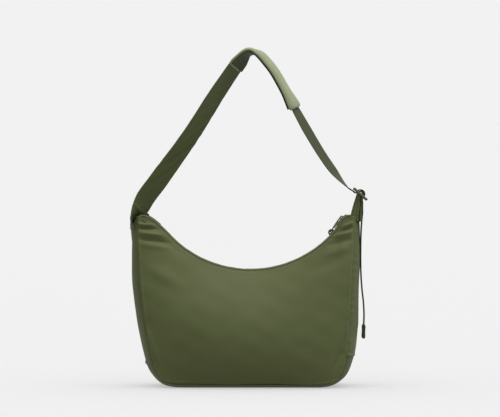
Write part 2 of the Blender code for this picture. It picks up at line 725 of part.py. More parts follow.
def make_webbing(axis, materials):
    """From the pad, under the near bar, over the centre bar and down through the far slot."""
    line, turns = strap_route()
    run, run_turns = resample(line, turns, PAD_SPLICE + SPLICE_CLEAR, 1.0, 36)
    radius = bar_clearance() + TAB_THICK + GAP + WEBBING_THICK / 2
    near_bar = GLIDE_CENTRE - GLIDE_ALONG * (GLIDE_LENGTH - GLIDE_BAR) / 2
    knots = [run[-1], near_bar - GLIDE_UP * GLIDE_TILT_CLEAR - GLIDE_ALONG * 0.001]
    for degrees in range(205, -30, -20):
        angle = math.radians(degrees)
        knots.append(GLIDE_CENTRE + radius * (GLIDE_ALONG * math.cos(angle) + GLIDE_UP * math.sin(angle)))
    knots.append(np.array([TAIL_X, FOLD_HEIGHT - 0.001]))
    knots.append(np.array([TAIL_X, FOLD_HEIGHT - FOLD_RADIUS]))
    threaded = smooth_curve(knots, 34)[1:]
    whole = np.concatenate([run, threaded])
    all_turns = np.concatenate([run_turns, np.zeros(len(threaded))])
    halves = np.full(len(whole), WEBBING_WIDTH / 2)
    after = np.arange(len(whole)) >= len(run)
    halves = np.where(after, round_end(whole, halves), halves)
    grid = band_grid(whole, all_turns, halves, (-1.0, 0.0, 1.0), (0.0, 0.0, 0.0))
    sheet_object("webbing", grid, WEBBING_THICK, materials["webbing"], axis, 0.0)


def make_anchor_tab(axis, materials):
    """A folded tab looped on the centre bar, its two legs sewn together below."""
    radius = bar_clearance() + TAB_THICK / 2
    foot = FOLD_HEIGHT - TAB_FOOT
    leg = TAB_THICK / 2 + GAP / 2
    middle = GLIDE_X - TAB_SHIFT
    knots = [np.array([middle - leg, foot]), np.array([middle - leg, foot + TAB_STRAIGHT])]
    for degrees in range(240, -61, -20):
        angle = math.radians(degrees)
        knots.append(GLIDE_CENTRE + radius * np.array([math.cos(angle), math.sin(angle)]))
    knots += [np.array([middle + leg, foot + TAB_STRAIGHT]), np.array([middle + leg, foot])]
    line = smooth_curve(knots, 30)
    halves = np.full(len(line), TAB_HALF_WIDTH)
    grid = band_grid(line, np.zeros(len(line)), halves, (-1.0, 1.0), (0.0, 0.0))
    sheet_object("anchor_tab", grid, TAB_THICK, materials["gusset"], axis, 0.0)


def make_tri_glide(axis, materials):
    """A moulded slide with three bars, its centre bar on the axis."""
    half_width = WEBBING_WIDTH / 2 + GLIDE_SIDE_CLEAR
    outer = half_width + GLIDE_RAIL

    def block(name, start, end, half, thick):
        corners = [(start, -half), (end, -half), (end, half), (start, half)]
        points = []
        for forward, side in corners:
            x, z = GLIDE_CENTRE + GLIDE_ALONG * forward - GLIDE_UP * thick / 2
            points.append((x, side, z))
        lift = GLIDE_UP * thick
        return prism_mesh(name, points, (lift[0], 0.0, lift[1]))

    frame = block("tri_glide", -GLIDE_LENGTH / 2, GLIDE_LENGTH / 2, outer, GLIDE_THICK)
    glide = add_object("tri_glide", frame, materials["glide"], axis)
    for name, sign in (("near_slot", -1), ("far_slot", 1)):
        ends = sorted((sign * GLIDE_BAR / 2, sign * (GLIDE_LENGTH / 2 - GLIDE_BAR)))
        slot = block(name, ends[0], ends[1], half_width, 2 * GLIDE_THICK)
        combine(glide, helper_object(name, slot, axis), "DIFFERENCE")
    bevel(glide, 0.0006, 1)


def make_strap_roots(root, materials):
    """Where the gusset runs up above the horns: a root for the strap and one for the tab."""
    top = FOLD_HEIGHT - FOLD_RADIUS - 0.0015
    inset = SHELL + GAP
    for name, share, lean in (("strap_root", HORN_SHARE, 0.006), ("tab_root", 1.0 - HORN_SHARE, -0.002)):
        seam = at_shares(seam_outline(), [share])[0]
        start = seam[1] + 4 * GAP
        sign = math.copysign(1.0, seam[0])
        half = gusset_half_depth(seam[1]) - inset
        grid = np.zeros((4, len(ACROSS), 3))
        for i, rise in enumerate(np.linspace(0.0, 1.0, 4)):
            for j, side in enumerate(ACROSS):
                bulge = SIDE_BULGE * (1.0 - side**2) * (1.0 - 0.6 * rise)
                x = seam[0] + sign * bulge + lean * rise**2
                narrow = half * (1.0 - 0.14 * rise)
                grid[i, j] = x, side * narrow, start + (top - start) * rise
        if sign > 0:
            grid = grid[::-1]
        sheet_object(name, grid, SHELL, materials["gusset"], root)


def make_tail(axis, materials):
    """The free end of the webbing and the folded, stitched hem that ends it."""
    route = [(GUSSET_SIDE + beyond, FOLD_HEIGHT - below) for beyond, below in TAIL_ROUTE]
    line = smooth_curve(route, 400)
    length = lengths_along(line)[-1]
    split = 1.0 - HEM_LENGTH / length
    tail = at_shares(line, np.linspace(0.0, split - GAP / length, 22))
    hem = at_shares(line, np.linspace(split, 1.0, 5))
    for name, part, thick in (("webbing_tail", tail, WEBBING_THICK), ("tail_hem", hem, HEM_THICK)):
        halves = np.full(len(part), WEBBING_WIDTH / 2)
        grid = band_grid(part, np.zeros(len(part)), halves, (-1.0, 1.0), (0.0, 0.0))
        sheet_object(name, grid, thick, materials["webbing"], axis, 0.0)


# ---------------------------------------------------------------- assembly


def main():
    for obj in list(bpy.data.objects):
        bpy.data.objects.remove(obj)
    materials = make_materials()
    root = axis_empty("bag_frame", (0, 0, 0))
    fold = axis_empty("strap_fold_axis", (0, 0, FOLD_HEIGHT), root)
    glide = axis_empty("glide_tilt_axis", (GLIDE_CENTRE[0], 0, GLIDE_CENTRE[1]), fold)
    tail = axis_empty("tail_swing_axis", (TAIL_X, 0, TAIL_TOP), root)
    zip_axis = axis_empty("zip_travel_axis", (ZIP_CENTRE[0], 0, ZIP_CENTRE[1]), root)
    pivot = pull_pivot()
    pull = axis_empty("pull_swing_axis", (pivot[0], 0, pivot[1]), zip_axis)
    make_panels(root, materials)
    make_gusset(root, materials)
    make_panel_linings(root, materials)
    make_base_board(root, materials)
    make_zip(root, materials)
    make_zip_ends(root, materials)
    make_strap_roots(root, materials)
    make_slider(zip_axis, materials)
    make_pull(pull, materials)
    make_strap_fabric(fold, materials)
    make_pad(fold, materials)
    make_webbing(fold, materials)
    make_anchor_tab(fold, materials)
    make_tri_glide(glide, materials)
    make_tail(tail, materials)


main()
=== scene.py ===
"""The looks of a nylon hobo bag: cloth, strap, zip, adjuster and stitching round a fixed frame."""

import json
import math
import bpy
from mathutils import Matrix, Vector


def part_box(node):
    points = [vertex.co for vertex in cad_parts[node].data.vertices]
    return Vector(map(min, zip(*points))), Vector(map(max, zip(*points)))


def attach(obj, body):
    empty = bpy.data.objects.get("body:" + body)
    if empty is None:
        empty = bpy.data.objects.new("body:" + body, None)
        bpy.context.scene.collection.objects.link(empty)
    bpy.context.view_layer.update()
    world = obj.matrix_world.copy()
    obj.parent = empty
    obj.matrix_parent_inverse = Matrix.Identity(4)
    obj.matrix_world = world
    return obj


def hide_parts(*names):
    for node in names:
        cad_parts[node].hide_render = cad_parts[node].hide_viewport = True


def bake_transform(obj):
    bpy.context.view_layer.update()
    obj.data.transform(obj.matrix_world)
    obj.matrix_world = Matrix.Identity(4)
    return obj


bl_info = {
    "name": "Hobo Bag",
    "version": (1, 0, 0),
    "blender": (4, 5, 0),
    "location": "View3D > Sidebar > Hobo Bag",
    "description": "Builds the cloth, strap, zip and hardware of a nylon hobo bag",
    "category": "Add Mesh",
}

import bmesh
import bpy
import numpy as np
from bpy.props import FloatProperty, FloatVectorProperty, PointerProperty
from mathutils import Vector

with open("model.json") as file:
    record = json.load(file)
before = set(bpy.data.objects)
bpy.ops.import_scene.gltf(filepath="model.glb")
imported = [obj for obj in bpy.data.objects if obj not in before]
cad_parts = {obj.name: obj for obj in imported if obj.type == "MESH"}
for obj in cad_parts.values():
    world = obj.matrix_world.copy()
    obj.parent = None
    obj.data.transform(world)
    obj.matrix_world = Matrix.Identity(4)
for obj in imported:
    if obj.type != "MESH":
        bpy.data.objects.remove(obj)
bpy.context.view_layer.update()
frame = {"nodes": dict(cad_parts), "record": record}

# ---------------------------------------------------------------- sizes from the frame

FRONT_LOW, FRONT_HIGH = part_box("front_panel")
TIE_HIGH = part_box("webbing_tail")[1]
JOINTS = {joint["name"]: joint for joint in frame["record"]["behaviour"]["joints"]}
FOLD_HEIGHT = JOINTS["strap_fold"]["pos_m"][2]
ZIP_CENTRE = np.array([JOINTS["zip_travel"]["pos_m"][0], JOINTS["zip_travel"]["pos_m"][2]])
GLIDE_CENTRE = np.array([JOINTS["glide_tilt"]["pos_m"][0], JOINTS["glide_tilt"]["pos_m"][2]])
PULL_PIVOT = np.array([JOINTS["pull_swing"]["pos_m"][0], JOINTS["pull_swing"]["pos_m"][2]])

HALF_WIDTH = 0.171
SEAM_INSET = 0.0022  # the seams lie this much inside the gussets' line
HORN_HEIGHT = FRONT_HIGH[2]
BASE_SEAM_LIFT = FRONT_LOW[2]
ZIP_RADIUS = 0.175
ZIP_HALF_SPAN = math.radians(49.5)
SLIDER_ANGLE = math.radians(47.5)
OPENING_HALF = 0.016
CORNER_SHARE = 0.325
LEFT_BASE_SEAM = 0.288
RIGHT_BASE_SEAM = 0.728
STRAP_RISE = 0.235
GLIDE_SLOPE = math.radians(42.0)
GLIDE_LENGTH = 0.028
GLIDE_BAR = 0.0042
GLIDE_THICK = 0.0034
TAIL_X = JOINTS["tail_swing"]["pos_m"][0]
WEBBING_RIB = 0.00012  # how far the webbing's ribs stand up

# Spans about the fold for the strap, the tab and the webbing: from the first point to the second, in height
# only.
STRAP_BEND = (0, 0, FOLD_HEIGHT - 0.022), (0, 0, FOLD_HEIGHT + 0.024)
TAB_BEND = (0, 0, FOLD_HEIGHT - 0.018), (0, 0, FOLD_HEIGHT + 0.004)
WEBBING_BEND = (0, 0, FOLD_HEIGHT - 0.014), (0, 0, TIE_HIGH[2] + 0.001)


class BagSizes(bpy.types.PropertyGroup):
    """Sizes of the cloth body that a user may change."""

    base_half_depth: FloatProperty(
        name="Base half depth", description="Middle of the base to a panel's seam",
        default=0.062, min=0.02, max=0.12, unit="LENGTH",
    )
    horn_half_depth: FloatProperty(
        name="Horn half depth", description="Middle of a horn to a panel's seam",
        default=0.019, min=0.01, max=0.05, unit="LENGTH",
    )
    belly: FloatProperty(
        name="Belly", description="How far the stuffed panels stand out",
        default=0.027, min=0.0, max=0.06, unit="LENGTH",
    )
    side_bulge: FloatProperty(
        name="Side bulge", description="How far the gussets stand out beyond the seams",
        default=0.0075, min=0.0, max=0.02, unit="LENGTH",
    )
    cloth: FloatProperty(
        name="Cloth thickness", description="Outer fabric with its backing",
        default=0.0020, min=0.0005, max=0.004, unit="LENGTH",
    )
    wrinkle: FloatProperty(
        name="Wrinkle height", description="Scale of the folds and puckers",
        default=1.0, min=0.0, max=2.0, subtype="FACTOR",
    )
    stitch: FloatProperty(
        name="Stitch pitch", description="Distance from one stitch to the next",
        default=0.0032, min=0.001, max=0.01, unit="LENGTH",
    )


class StrapSizes(bpy.types.PropertyGroup):
    """Sizes of the strap, the pad and the webbing."""

    width: FloatProperty(
        name="Strap width", description="Width of the cloth strap",
        default=0.040, min=0.02, max=0.08, unit="LENGTH",
    )
    thickness: FloatProperty(
        name="Strap thickness", description="Thickness of the folded cloth strap",
        default=0.0022, min=0.001, max=0.006, unit="LENGTH",
    )
    pad_width: FloatProperty(
        name="Pad width", description="Width of the shoulder pad",
        default=0.043, min=0.02, max=0.08, unit="LENGTH",
    )
    pad_start: FloatProperty(
        name="Pad start", description="Share of the strap's length at the pad's left end",
        default=0.471, min=0.0, max=1.0, subtype="FACTOR",
    )
    pad_end: FloatProperty(
        name="Pad end", description="Share of the strap's length at the pad's right end",
        default=0.738, min=0.0, max=1.0, subtype="FACTOR",
    )
    webbing: FloatProperty(
        name="Webbing width", description="Width of the ribbed webbing",
        default=0.025, min=0.01, max=0.05, unit="LENGTH",
    )
    webbing_thick: FloatProperty(
        name="Webbing thickness", description="Thickness of the ribbed webbing",
        default=0.0016, min=0.0008, max=0.004, unit="LENGTH",
    )


def colour_property(name, description, default):
    return FloatVectorProperty(
        name=name, description=description, default=default, size=3, min=0.0, max=1.0, subtype="COLOR"
    )


class BagColours(bpy.types.PropertyGroup):
    """Colours of the bag's cloths and hardware."""

    shell: colour_property("Shell", "Nylon of the panels", (0.058, 0.068, 0.024))
    gusset: colour_property("Gusset", "Nylon of the gussets and the base", (0.054, 0.065, 0.022))
    strap: colour_property("Strap", "Nylon of the strap", (0.050, 0.061, 0.020))
    # The pad's colour is set far lighter than the strap's: painted sheen and top light on the pad's crown.
    pad: colour_property("Pad", "Outer cloth of the shoulder pad", (0.140, 0.158, 0.092))
    # The webbing's dark olive is set darker still: its own colour plus painted shade for the tail that
    # hangs in shadow beside the gusset.
    webbing: colour_property("Webbing", "Ribbed webbing", (0.024, 0.031, 0.009))
    thread: colour_property("Thread", "Sewing thread", (0.055, 0.066, 0.026))
    tape: colour_property("Zip tape", "Woven tape of the zip", (0.030, 0.038, 0.014))
    coil: colour_property("Zip coil", "Coil and slider", (0.028, 0.034, 0.013))
    plastic: colour_property("Plastic", "Moulded adjuster", (0.045, 0.054, 0.020))
    floor: colour_property("Floor", "Studio floor and sweep", (0.60, 0.60, 0.60))


def settings():
    """The scene's three groups of sizes and colours."""
    scene = bpy.context.scene
    return scene.bag_sizes, scene.strap_sizes, scene.bag_colours


# ---------------------------------------------------------------- outlines

# Side seams from horn to base: shares of the half width, and of the height above the base seam.
LEFT_SEAM = [
    (-1.000, 1.000), (-1.000, 0.810), (-0.965, 0.555), (-0.912, 0.337), (-0.868, 0.183),
    (-0.818, 0.082), (-0.737, 0.020), (-0.655, 0.003), (-0.585, 0.000),
]
RIGHT_SEAM = [
    (1.000, 1.000), (0.994, 0.800), (0.977, 0.615), (0.949, 0.331), (0.924, 0.150),
    (0.868, 0.055), (0.780, 0.012), (0.700, 0.001), (0.620, 0.000),
]

# Centre line of the strap: share of the half width, share of the rise, turn in degrees.
STRAP_ROUTE = [
    (-0.915, 0.025, 48.0), (-0.800, 0.140, 49.0), (-0.515, 0.428, 38.0), (-0.190, 0.796, 29.0),
    (-0.056, 0.932, 27.0), (0.036, 0.998, 8.0), (0.117, 0.985, -12.0), (0.210, 0.919, -14.0),
    (0.368, 0.736, -15.0), (0.462, 0.612, -29.0), (0.556, 0.489, -34.0), (0.801, 0.211, -30.0),
    (0.890, 0.132, -10.0), (0.940, 0.094, 0.0),
]
ROUTE_FOOT = (-0.990, -0.062, 34.0)

# How the strap grows out of the left gusset, from the cross seam up, on the same scale.
STRAP_FOOT = [
    (-1.045, -0.180, 0.0), (-1.042, -0.135, 7.0), (-1.012, -0.092, 26.0), (-0.968, -0.048, 42.0),
]

# The free end of the webbing, hanging beside the gusset, in metres.
TAIL_ROUTE = [
    (0.1824, 0.2695), (0.1812, 0.256), (0.1800, 0.235), (0.1796, 0.212), (0.1800, 0.176),
    (0.1817, 0.150), (0.1839, 0.130), (0.1848, 0.112), (0.1843, 0.094), (0.1838, 0.074),
]

DENSE = 3000


def lengths_along(points):
    """Distance along a polyline at each of its points."""
    steps = np.linalg.norm(np.diff(points, axis=0), axis=1)
    return np.concatenate([[0.0], np.cumsum(steps)])


def at_shares(points, shares):
    """Points at these shares of a polyline's length."""
    along = lengths_along(points)
    wanted = np.asarray(shares, float) * along[-1]
    return np.stack([np.interp(wanted, along, axis) for axis in points.T], axis=-1)


def smooth_curve(knots, count=DENSE):
    """Points in even steps along a smooth curve through the knots."""
    knots = np.array(knots, float)
    t = lengths_along(knots)
    slopes = np.gradient(knots, t, axis=0)
    fine = np.linspace(0.0, t[-1], 200 * len(knots))
    i = np.clip(np.searchsorted(t, fine, side="right") - 1, 0, len(t) - 2)
    span = (t[i + 1] - t[i])[:, None]
    s = (fine - t[i])[:, None] / span
    curve = (1 + 2 * s) * (1 - s) ** 2 * knots[i] + s * (1 - s) ** 2 * span * slopes[i]
    curve += s**2 * (3 - 2 * s) * knots[i + 1] + s**2 * (s - 1) * span * slopes[i + 1]
    return at_shares(curve, np.linspace(0.0, 1.0, count))


def softened(line, width):
    """A polyline with its small corners rounded, its two ends left where they are."""
    kernel = np.hanning(width + 2)[1:-1]
    kernel /= kernel.sum()
    half = width // 2
    padded = np.concatenate([
        2 * line[0] - line[half:0:-1], line, 2 * line[-1] - line[-2:-half - 2:-1]
    ])
    return np.stack([np.convolve(axis, kernel, "valid") for axis in padded.T], axis=1)[: len(line)]


def seam_side(shares):
    rise = HORN_HEIGHT - BASE_SEAM_LIFT
    half = HALF_WIDTH - SEAM_INSET
    return smooth_curve([(x * half, BASE_SEAM_LIFT + z * rise) for x, z in shares])


def seam_outline():
    """The seam round a panel in x and z: left horn, base, right horn."""
    return np.concatenate([seam_side(LEFT_SEAM), seam_side(RIGHT_SEAM)[::-1]])


SEAM = seam_outline()


def gusset_half_depth(z):
    sizes = settings()[0]
    height = np.clip((z - BASE_SEAM_LIFT) / (HORN_HEIGHT - BASE_SEAM_LIFT), 0.0, 1.0)
    narrowing = 1.0 - height**1.25
    return sizes.horn_half_depth + (sizes.base_half_depth - sizes.horn_half_depth) * narrowing


def on_zip(angle, lift=0.0):
    radius = ZIP_RADIUS - lift
    return ZIP_CENTRE + radius * np.array([math.sin(angle), -math.cos(angle)])


def top_edge(lift=0.0):
    """The top edge of a panel in x and z: left horn, the arc of the zip, right horn."""
    arc = [on_zip(angle, lift) for angle in np.linspace(-ZIP_HALF_SPAN, ZIP_HALF_SPAN, 15)]
    horn = np.array([HALF_WIDTH - SEAM_INSET, HORN_HEIGHT + lift])
    inside = np.array([HALF_WIDTH - 0.013, HORN_HEIGHT - 0.0005 + lift])
    flip = np.array([-1.0, 1.0])
    return smooth_curve([horn * flip, inside * flip] + arc + [inside, horn])


# ---------------------------------------------------------------- cloth relief


def smooth_noise(x, z, size, seed):
    """Soft random relief from -1 to 1 with features of about this size."""
    draw = np.random.default_rng(seed)
    total = np.zeros(np.broadcast(x, z).shape)
    for _ in range(9):
        heading = draw.uniform(0, math.pi)
        length = size * draw.uniform(0.8, 2.2)
        phase = draw.uniform(0, 2 * math.pi)
        total += np.sin((x * math.cos(heading) + z * math.sin(heading)) * 2 * math.pi / length + phase)
    return total / 4.5


def fold(x, z, start, end, height, width):
    """Height of one soft ridge along a line, fading out at both ends."""
    start, end = np.array(start), np.array(end)
    run = end - start
    length = np.linalg.norm(run)
    run = run / length
    t = ((x - start[0]) * run[0] + (z - start[1]) * run[1]) / length
    away = -(x - start[0]) * run[1] + (z - start[1]) * run[0]
    ends = np.clip(t / 0.3, 0, 1) * np.clip((1 - t) / 0.45, 0, 1)
    ends = ends * ends * (3 - 2 * ends)
    return height * ends * np.exp(-((away / width) ** 2))


# Folds of the panels: start, end, height and width in metres. Most run in from the horns, where
# the strap and the tab gather the cloth.
HORN_FOLDS = [
    ((-0.172, 0.2530), (-0.136, 0.2500), 0.0022, 0.0022),
    ((-0.172, 0.2470), (-0.128, 0.2440), -0.0020, 0.0024),
    ((-0.173, 0.2400), (-0.118, 0.2330), 0.0024, 0.0032),
    ((-0.172, 0.2320), (-0.108, 0.2210), -0.0020, 0.0036),
    ((-0.171, 0.2230), (-0.100, 0.2130), 0.0012, 0.0050),
    ((-0.150, 0.2360), (-0.092, 0.2050), -0.0010, 0.0050),
    ((-0.165, 0.2580), (-0.150, 0.2500), -0.0012, 0.0020),
    ((0.172, 0.2560), (0.146, 0.2470), 0.0014, 0.0020),
    ((0.172, 0.2500), (0.140, 0.2380), -0.0018, 0.0024),
    ((0.172, 0.2420), (0.128, 0.2300), 0.0018, 0.0030),
    ((0.172, 0.2320), (0.118, 0.2160), -0.0014, 0.0040),
    ((0.171, 0.2200), (0.110, 0.1990), 0.0011, 0.0055),
    ((0.160, 0.2050), (0.095, 0.1750), -0.0010, 0.0080),
    ((-0.160, 0.1900), (-0.085, 0.1500), 0.0012, 0.0100),
    ((0.166, 0.1500), (0.150, 0.0600), 0.0010, 0.0040),
    ((-0.152, 0.0950), (-0.130, 0.0250), 0.0010, 0.0045),
    ((0.152, 0.0650), (0.132, 0.0200), -0.0010, 0.0040),
]


def panel_relief(x, z, to_seam, seam_place, to_top, seed):
    """Height of the cloth above the smooth panel."""
    wrinkle = settings()[0].wrinkle
    height = 0.0016 * smooth_noise(x, z, 0.085, seed)
    height += 0.00050 * smooth_noise(x, z, 0.036, seed + 1)
    for start, end, rise, width in HORN_FOLDS:
        if seed % 2:
            rise = 0.8 * rise
            start = (start[0], start[1] - 0.003)
        height += fold(x, z, start, end, 1.35 * rise, width)
    pucker = smooth_noise(seam_place, 0.0 * seam_place, 0.011, seed + 2)
    height += 0.00055 * pucker * np.exp(-((to_seam / 0.007) ** 2))
    top_pucker = smooth_noise(x, 0.0 * x, 0.009, seed + 3)
    height += 0.00030 * top_pucker * np.exp(-((to_top / 0.006) ** 2))
    height *= wrinkle * (1.0 - np.exp(-((to_top / 0.0035) ** 2)))
    height *= 1.0 - np.exp(-((to_seam / 0.0010) ** 2))
    height += 0.0007 * np.exp(-(((to_seam - 0.0042) / 0.0020) ** 2))
    height -= 0.0026 * np.exp(-((to_seam / 0.0019) ** 2))
    return height


def panel_grid(us, vs, seed=0, relief=True):
    """Front panel's outer surface: u from left to right and v from the base to the zip."""
    sizes = settings()[0]
    u, v = us[:, None], vs[None, :]
    low_shares = CORNER_SHARE + us * (1.0 - 2 * CORNER_SHARE)
    left_shares = CORNER_SHARE * (1.0 - vs)
    low, high = at_shares(SEAM, low_shares), at_shares(top_edge(), us)
    left, right = at_shares(SEAM, left_shares), at_shares(SEAM, 1.0 - left_shares)
    corners = [at_shares(SEAM, CORNER_SHARE), at_shares(SEAM, 1.0 - CORNER_SHARE)]
    tips = [at_shares(top_edge(), 0.0), at_shares(top_edge(), 1.0)]
    grid = np.zeros((len(us), len(vs), 3))
    for axis, place in ((0, 0), (1, 2)):
        flat = (1 - v) * low[:, axis][:, None] + v * high[:, axis][:, None]
        flat = flat + (1 - u) * left[:, axis][None, :] + u * right[:, axis][None, :]
        flat = flat - (1 - v) * ((1 - u) * corners[0][axis] + u * corners[1][axis])
        grid[:, :, place] = flat - v * ((1 - u) * tips[0][axis] + u * tips[1][axis])
    depth = (1 - v) * gusset_half_depth(low[:, 1])[:, None]
    depth = depth + v * (OPENING_HALF + (sizes.horn_half_depth - OPENING_HALF) * abs(2 * u - 1) ** 6)
    depth = depth + (1 - u) * gusset_half_depth(left[:, 1])[None, :]
    depth = depth + u * gusset_half_depth(right[:, 1])[None, :]
    depth = depth - (1 - v) * (1 - u) * gusset_half_depth(corners[0][1])
    depth = depth - (1 - v) * u * gusset_half_depth(corners[1][1]) - v * sizes.horn_half_depth
    depth = depth + sizes.belly * (4 * u * (1 - u)) ** 0.85 * (4 * v * (1 - v)) ** 0.9
    grid[:, :, 1] = -depth
    if not relief:
        return grid
    to_left = np.linalg.norm(grid - grid[:1], axis=2)
    to_right = np.linalg.norm(grid - grid[-1:], axis=2)
    to_base = np.linalg.norm(grid - grid[:, :1], axis=2)
    to_top = np.linalg.norm(grid - grid[:, -1:], axis=2)
    to_seam = np.minimum(np.minimum(to_left, to_right), to_base)
    seam_place = np.where(to_base < np.minimum(to_left, to_right), grid[:, :, 0], grid[:, :, 2])
    height = panel_relief(grid[:, :, 0], grid[:, :, 2], to_seam, seam_place, to_top, seed)
    return grid + grid_normals(grid) * height[:, :, None]


def grid_normals(grid):
    """Unit normals of a grid of points."""
    across = np.gradient(grid, axis=0)
    along = np.gradient(grid, axis=1)
    normals = np.cross(across, along)
    return normals / np.maximum(np.linalg.norm(normals, axis=2, keepdims=True), 1e-12)


def sheet_of(grid, layers=1):
    """Works out the flat area of a piece of cloth from its grid, held between set shares of its length
    times its width; nothing is returned or kept.
    """
    across = float(lengths_along(grid[:, grid.shape[1] // 2])[-1])
    along = float(lengths_along(grid[grid.shape[0] // 2])[-1])
    sides = np.cross(grid[1:, :-1] - grid[:-1, :-1], grid[:-1, 1:] - grid[:-1, :-1])
    area = float(np.linalg.norm(sides, axis=2).sum()) * layers
    area = min(max(area, 0.31 * across * along), 0.99 * across * along)


def close_ends(count):
    """Shares from 0 to 1 that lie closer together at both ends."""
    t = np.linspace(0.0, 1.0, count)
    return 0.45 * t + 0.55 * (0.5 - 0.5 * np.cos(math.pi * t))


# ---------------------------------------------------------------- materials


def new_material(name, colour, roughness, metallic=0.0, sheen=0.0, specular=0.5):
    """A Principled material with its plain values set."""
    material = bpy.data.materials.new(name)
    material.use_nodes = True
    shader = material.node_tree.nodes["Principled BSDF"]
    shader.inputs["Base Color"].default_value = (*colour, 1.0)
    shader.inputs["Roughness"].default_value = roughness
    shader.inputs["Metallic"].default_value = metallic
    shader.inputs["Sheen Weight"].default_value = sheen
    shader.inputs["Sheen Roughness"].default_value = 0.45
    shader.inputs["Sheen Tint"].default_value = (0.80, 0.84, 0.68, 1.0)
    shader.inputs["Specular IOR Level"].default_value = specular
    material.diffuse_color = (*colour, 1.0)
    return material


class Nodes:
    """Adds and links shader nodes of one material."""

    def __init__(self, material):
        self.tree = material.node_tree
        self.shader = self.tree.nodes["Principled BSDF"]

    def add(self, kind, **values):
        node = self.tree.nodes.new(kind)
        for key, value in values.items():
            if key in node.inputs.keys():
                node.inputs[key].default_value = value
            else:
                setattr(node, key, value)
        return node

    def link(self, output, target):
        self.tree.links.new(output, target)

    def math(self, operation, first, second):
        node = self.add("ShaderNodeMath", operation=operation)
        for slot, value in enumerate((first, second)):
            if isinstance(value, (int, float)):
                node.inputs[slot].default_value = value
            else:
                self.link(value, node.inputs[slot])
        return node.outputs[0]

    def noise(self, coordinates, scale, detail=2.0):
        node = self.add("ShaderNodeTexNoise", Scale=scale, Detail=detail)
        self.link(coordinates, node.inputs["Vector"])
        return node.outputs["Fac"]

    def wave(self, coordinates, pitch, direction, kind="SIN"):
        """A wave whose period is the pitch, in metres of the coordinates."""
        node = self.add(
            "ShaderNodeTexWave", wave_type="BANDS", bands_direction=direction, wave_profile=kind,
            Scale=math.pi / 10.0 / pitch,
        )
        self.link(coordinates, node.inputs["Vector"])
        return node.outputs["Fac"]

    def tint(self, factor, dark, light):
        """Base colour that goes from dark to light with the factor."""
        ramp = self.add("ShaderNodeValToRGB")
        ramp.color_ramp.elements[0].color = (*dark, 1.0)
        ramp.color_ramp.elements[1].color = (*light, 1.0)
        self.link(factor, ramp.inputs["Fac"])
        self.link(ramp.outputs["Color"], self.shader.inputs["Base Color"])

    def bump(self, height, distance, strength=1.0):
        node = self.add("ShaderNodeBump", Distance=distance, Strength=strength)
        self.link(height, node.inputs["Height"])
        self.link(node.outputs["Normal"], self.shader.inputs["Normal"])

    def roughness(self, factor, low, high):
        node = self.add("ShaderNodeMapRange")
        node.inputs["To Min"].default_value = low
        node.inputs["To Max"].default_value = high
        self.link(factor, node.inputs["Value"])
        self.link(node.outputs["Result"], self.shader.inputs["Roughness"])


def shade(colour, amount):
    """A colour made lighter or darker by a factor."""
    return tuple(min(1.0, channel * amount) for channel in colour)


def twill_material(name, colour, pitch=0.00062, roughness=0.66, sheen=0.05, contrast=0.10):
    """Fine diagonal nylon twill that follows the cloth's own UV map, with soft cloudy shade."""
    material = new_material(name, colour, roughness, sheen=sheen, specular=0.15)
    nodes = Nodes(material)
    place = nodes.add("ShaderNodeTexCoord")
    diagonal = nodes.wave(place.outputs["UV"], pitch, "DIAGONAL")
    cross = nodes.wave(place.outputs["UV"], pitch * 0.8, "X")
    weave = nodes.math("MULTIPLY", diagonal, cross)
    cloud = nodes.noise(place.outputs["Object"], 14.0, 3.0)
    slub = nodes.noise(place.outputs["Object"], 900.0, 2.0)
    mixed = nodes.math("ADD", nodes.math("MULTIPLY", cloud, 0.7), nodes.math("MULTIPLY", slub, 0.3))
    nodes.tint(mixed, shade(colour, 1.0 - contrast), shade(colour, 1.0 + contrast))
    nodes.roughness(cloud, roughness - 0.06, roughness + 0.06)
    relief = nodes.math("ADD", weave, nodes.math("MULTIPLY", slub, 0.8))
    nodes.bump(relief, 0.00007, 0.55)
    return material


def webbing_material(name, colour):
    """Ribbed webbing: weft bars across the ribs that the mesh holds."""
    material = new_material(name, colour, 0.72, sheen=0.08, specular=0.2)
    nodes = Nodes(material)
    place = nodes.add("ShaderNodeTexCoord")
    ribs = nodes.wave(place.outputs["UV"], 0.0021, "X")
    weft = nodes.wave(place.outputs["UV"], 0.0011, "Y")
    fuzz = nodes.noise(place.outputs["Object"], 1400.0, 3.0)
    woven = nodes.math("ADD", nodes.math("MULTIPLY", ribs, 0.5), nodes.math("MULTIPLY", weft, 0.5))
    shadeful = nodes.math("ADD", nodes.math("MULTIPLY", woven, 0.6), nodes.math("MULTIPLY", fuzz, 0.4))
    nodes.tint(shadeful, shade(colour, 0.72), shade(colour, 1.22))
    nodes.bump(nodes.math("ADD", woven, fuzz), 0.00012, 0.8)
    return material


def tape_material(name, colour):
    """Herringbone zip tape."""
    material = new_material(name, colour, 0.8, sheen=0.05, specular=0.2)
    nodes = Nodes(material)
    place = nodes.add("ShaderNodeTexCoord")
    bars = nodes.wave(place.outputs["UV"], 0.0011, "DIAGONAL")
    fuzz = nodes.noise(place.outputs["Object"], 1200.0, 2.0)
    mixed = nodes.math("MULTIPLY", nodes.math("ADD", bars, fuzz), 0.5)
    nodes.tint(mixed, shade(colour, 0.8), shade(colour, 1.2))
    nodes.bump(bars, 0.00010, 0.8)
    return material


def moulded_material(name, colour, roughness=0.42):
    """Moulded plastic with a fine spark-eroded grain and slightly rubbed patches."""
    material = new_material(name, colour, roughness, specular=0.5)
    nodes = Nodes(material)
    place = nodes.add("ShaderNodeTexCoord")
    grain = nodes.noise(place.outputs["Object"], 3200.0, 2.0)
    rubbed = nodes.noise(place.outputs["Object"], 220.0, 3.0)
    nodes.tint(rubbed, shade(colour, 0.9), shade(colour, 1.12))
    nodes.roughness(rubbed, roughness - 0.08, roughness + 0.1)
    nodes.bump(grain, 0.00003, 0.6)
    return material


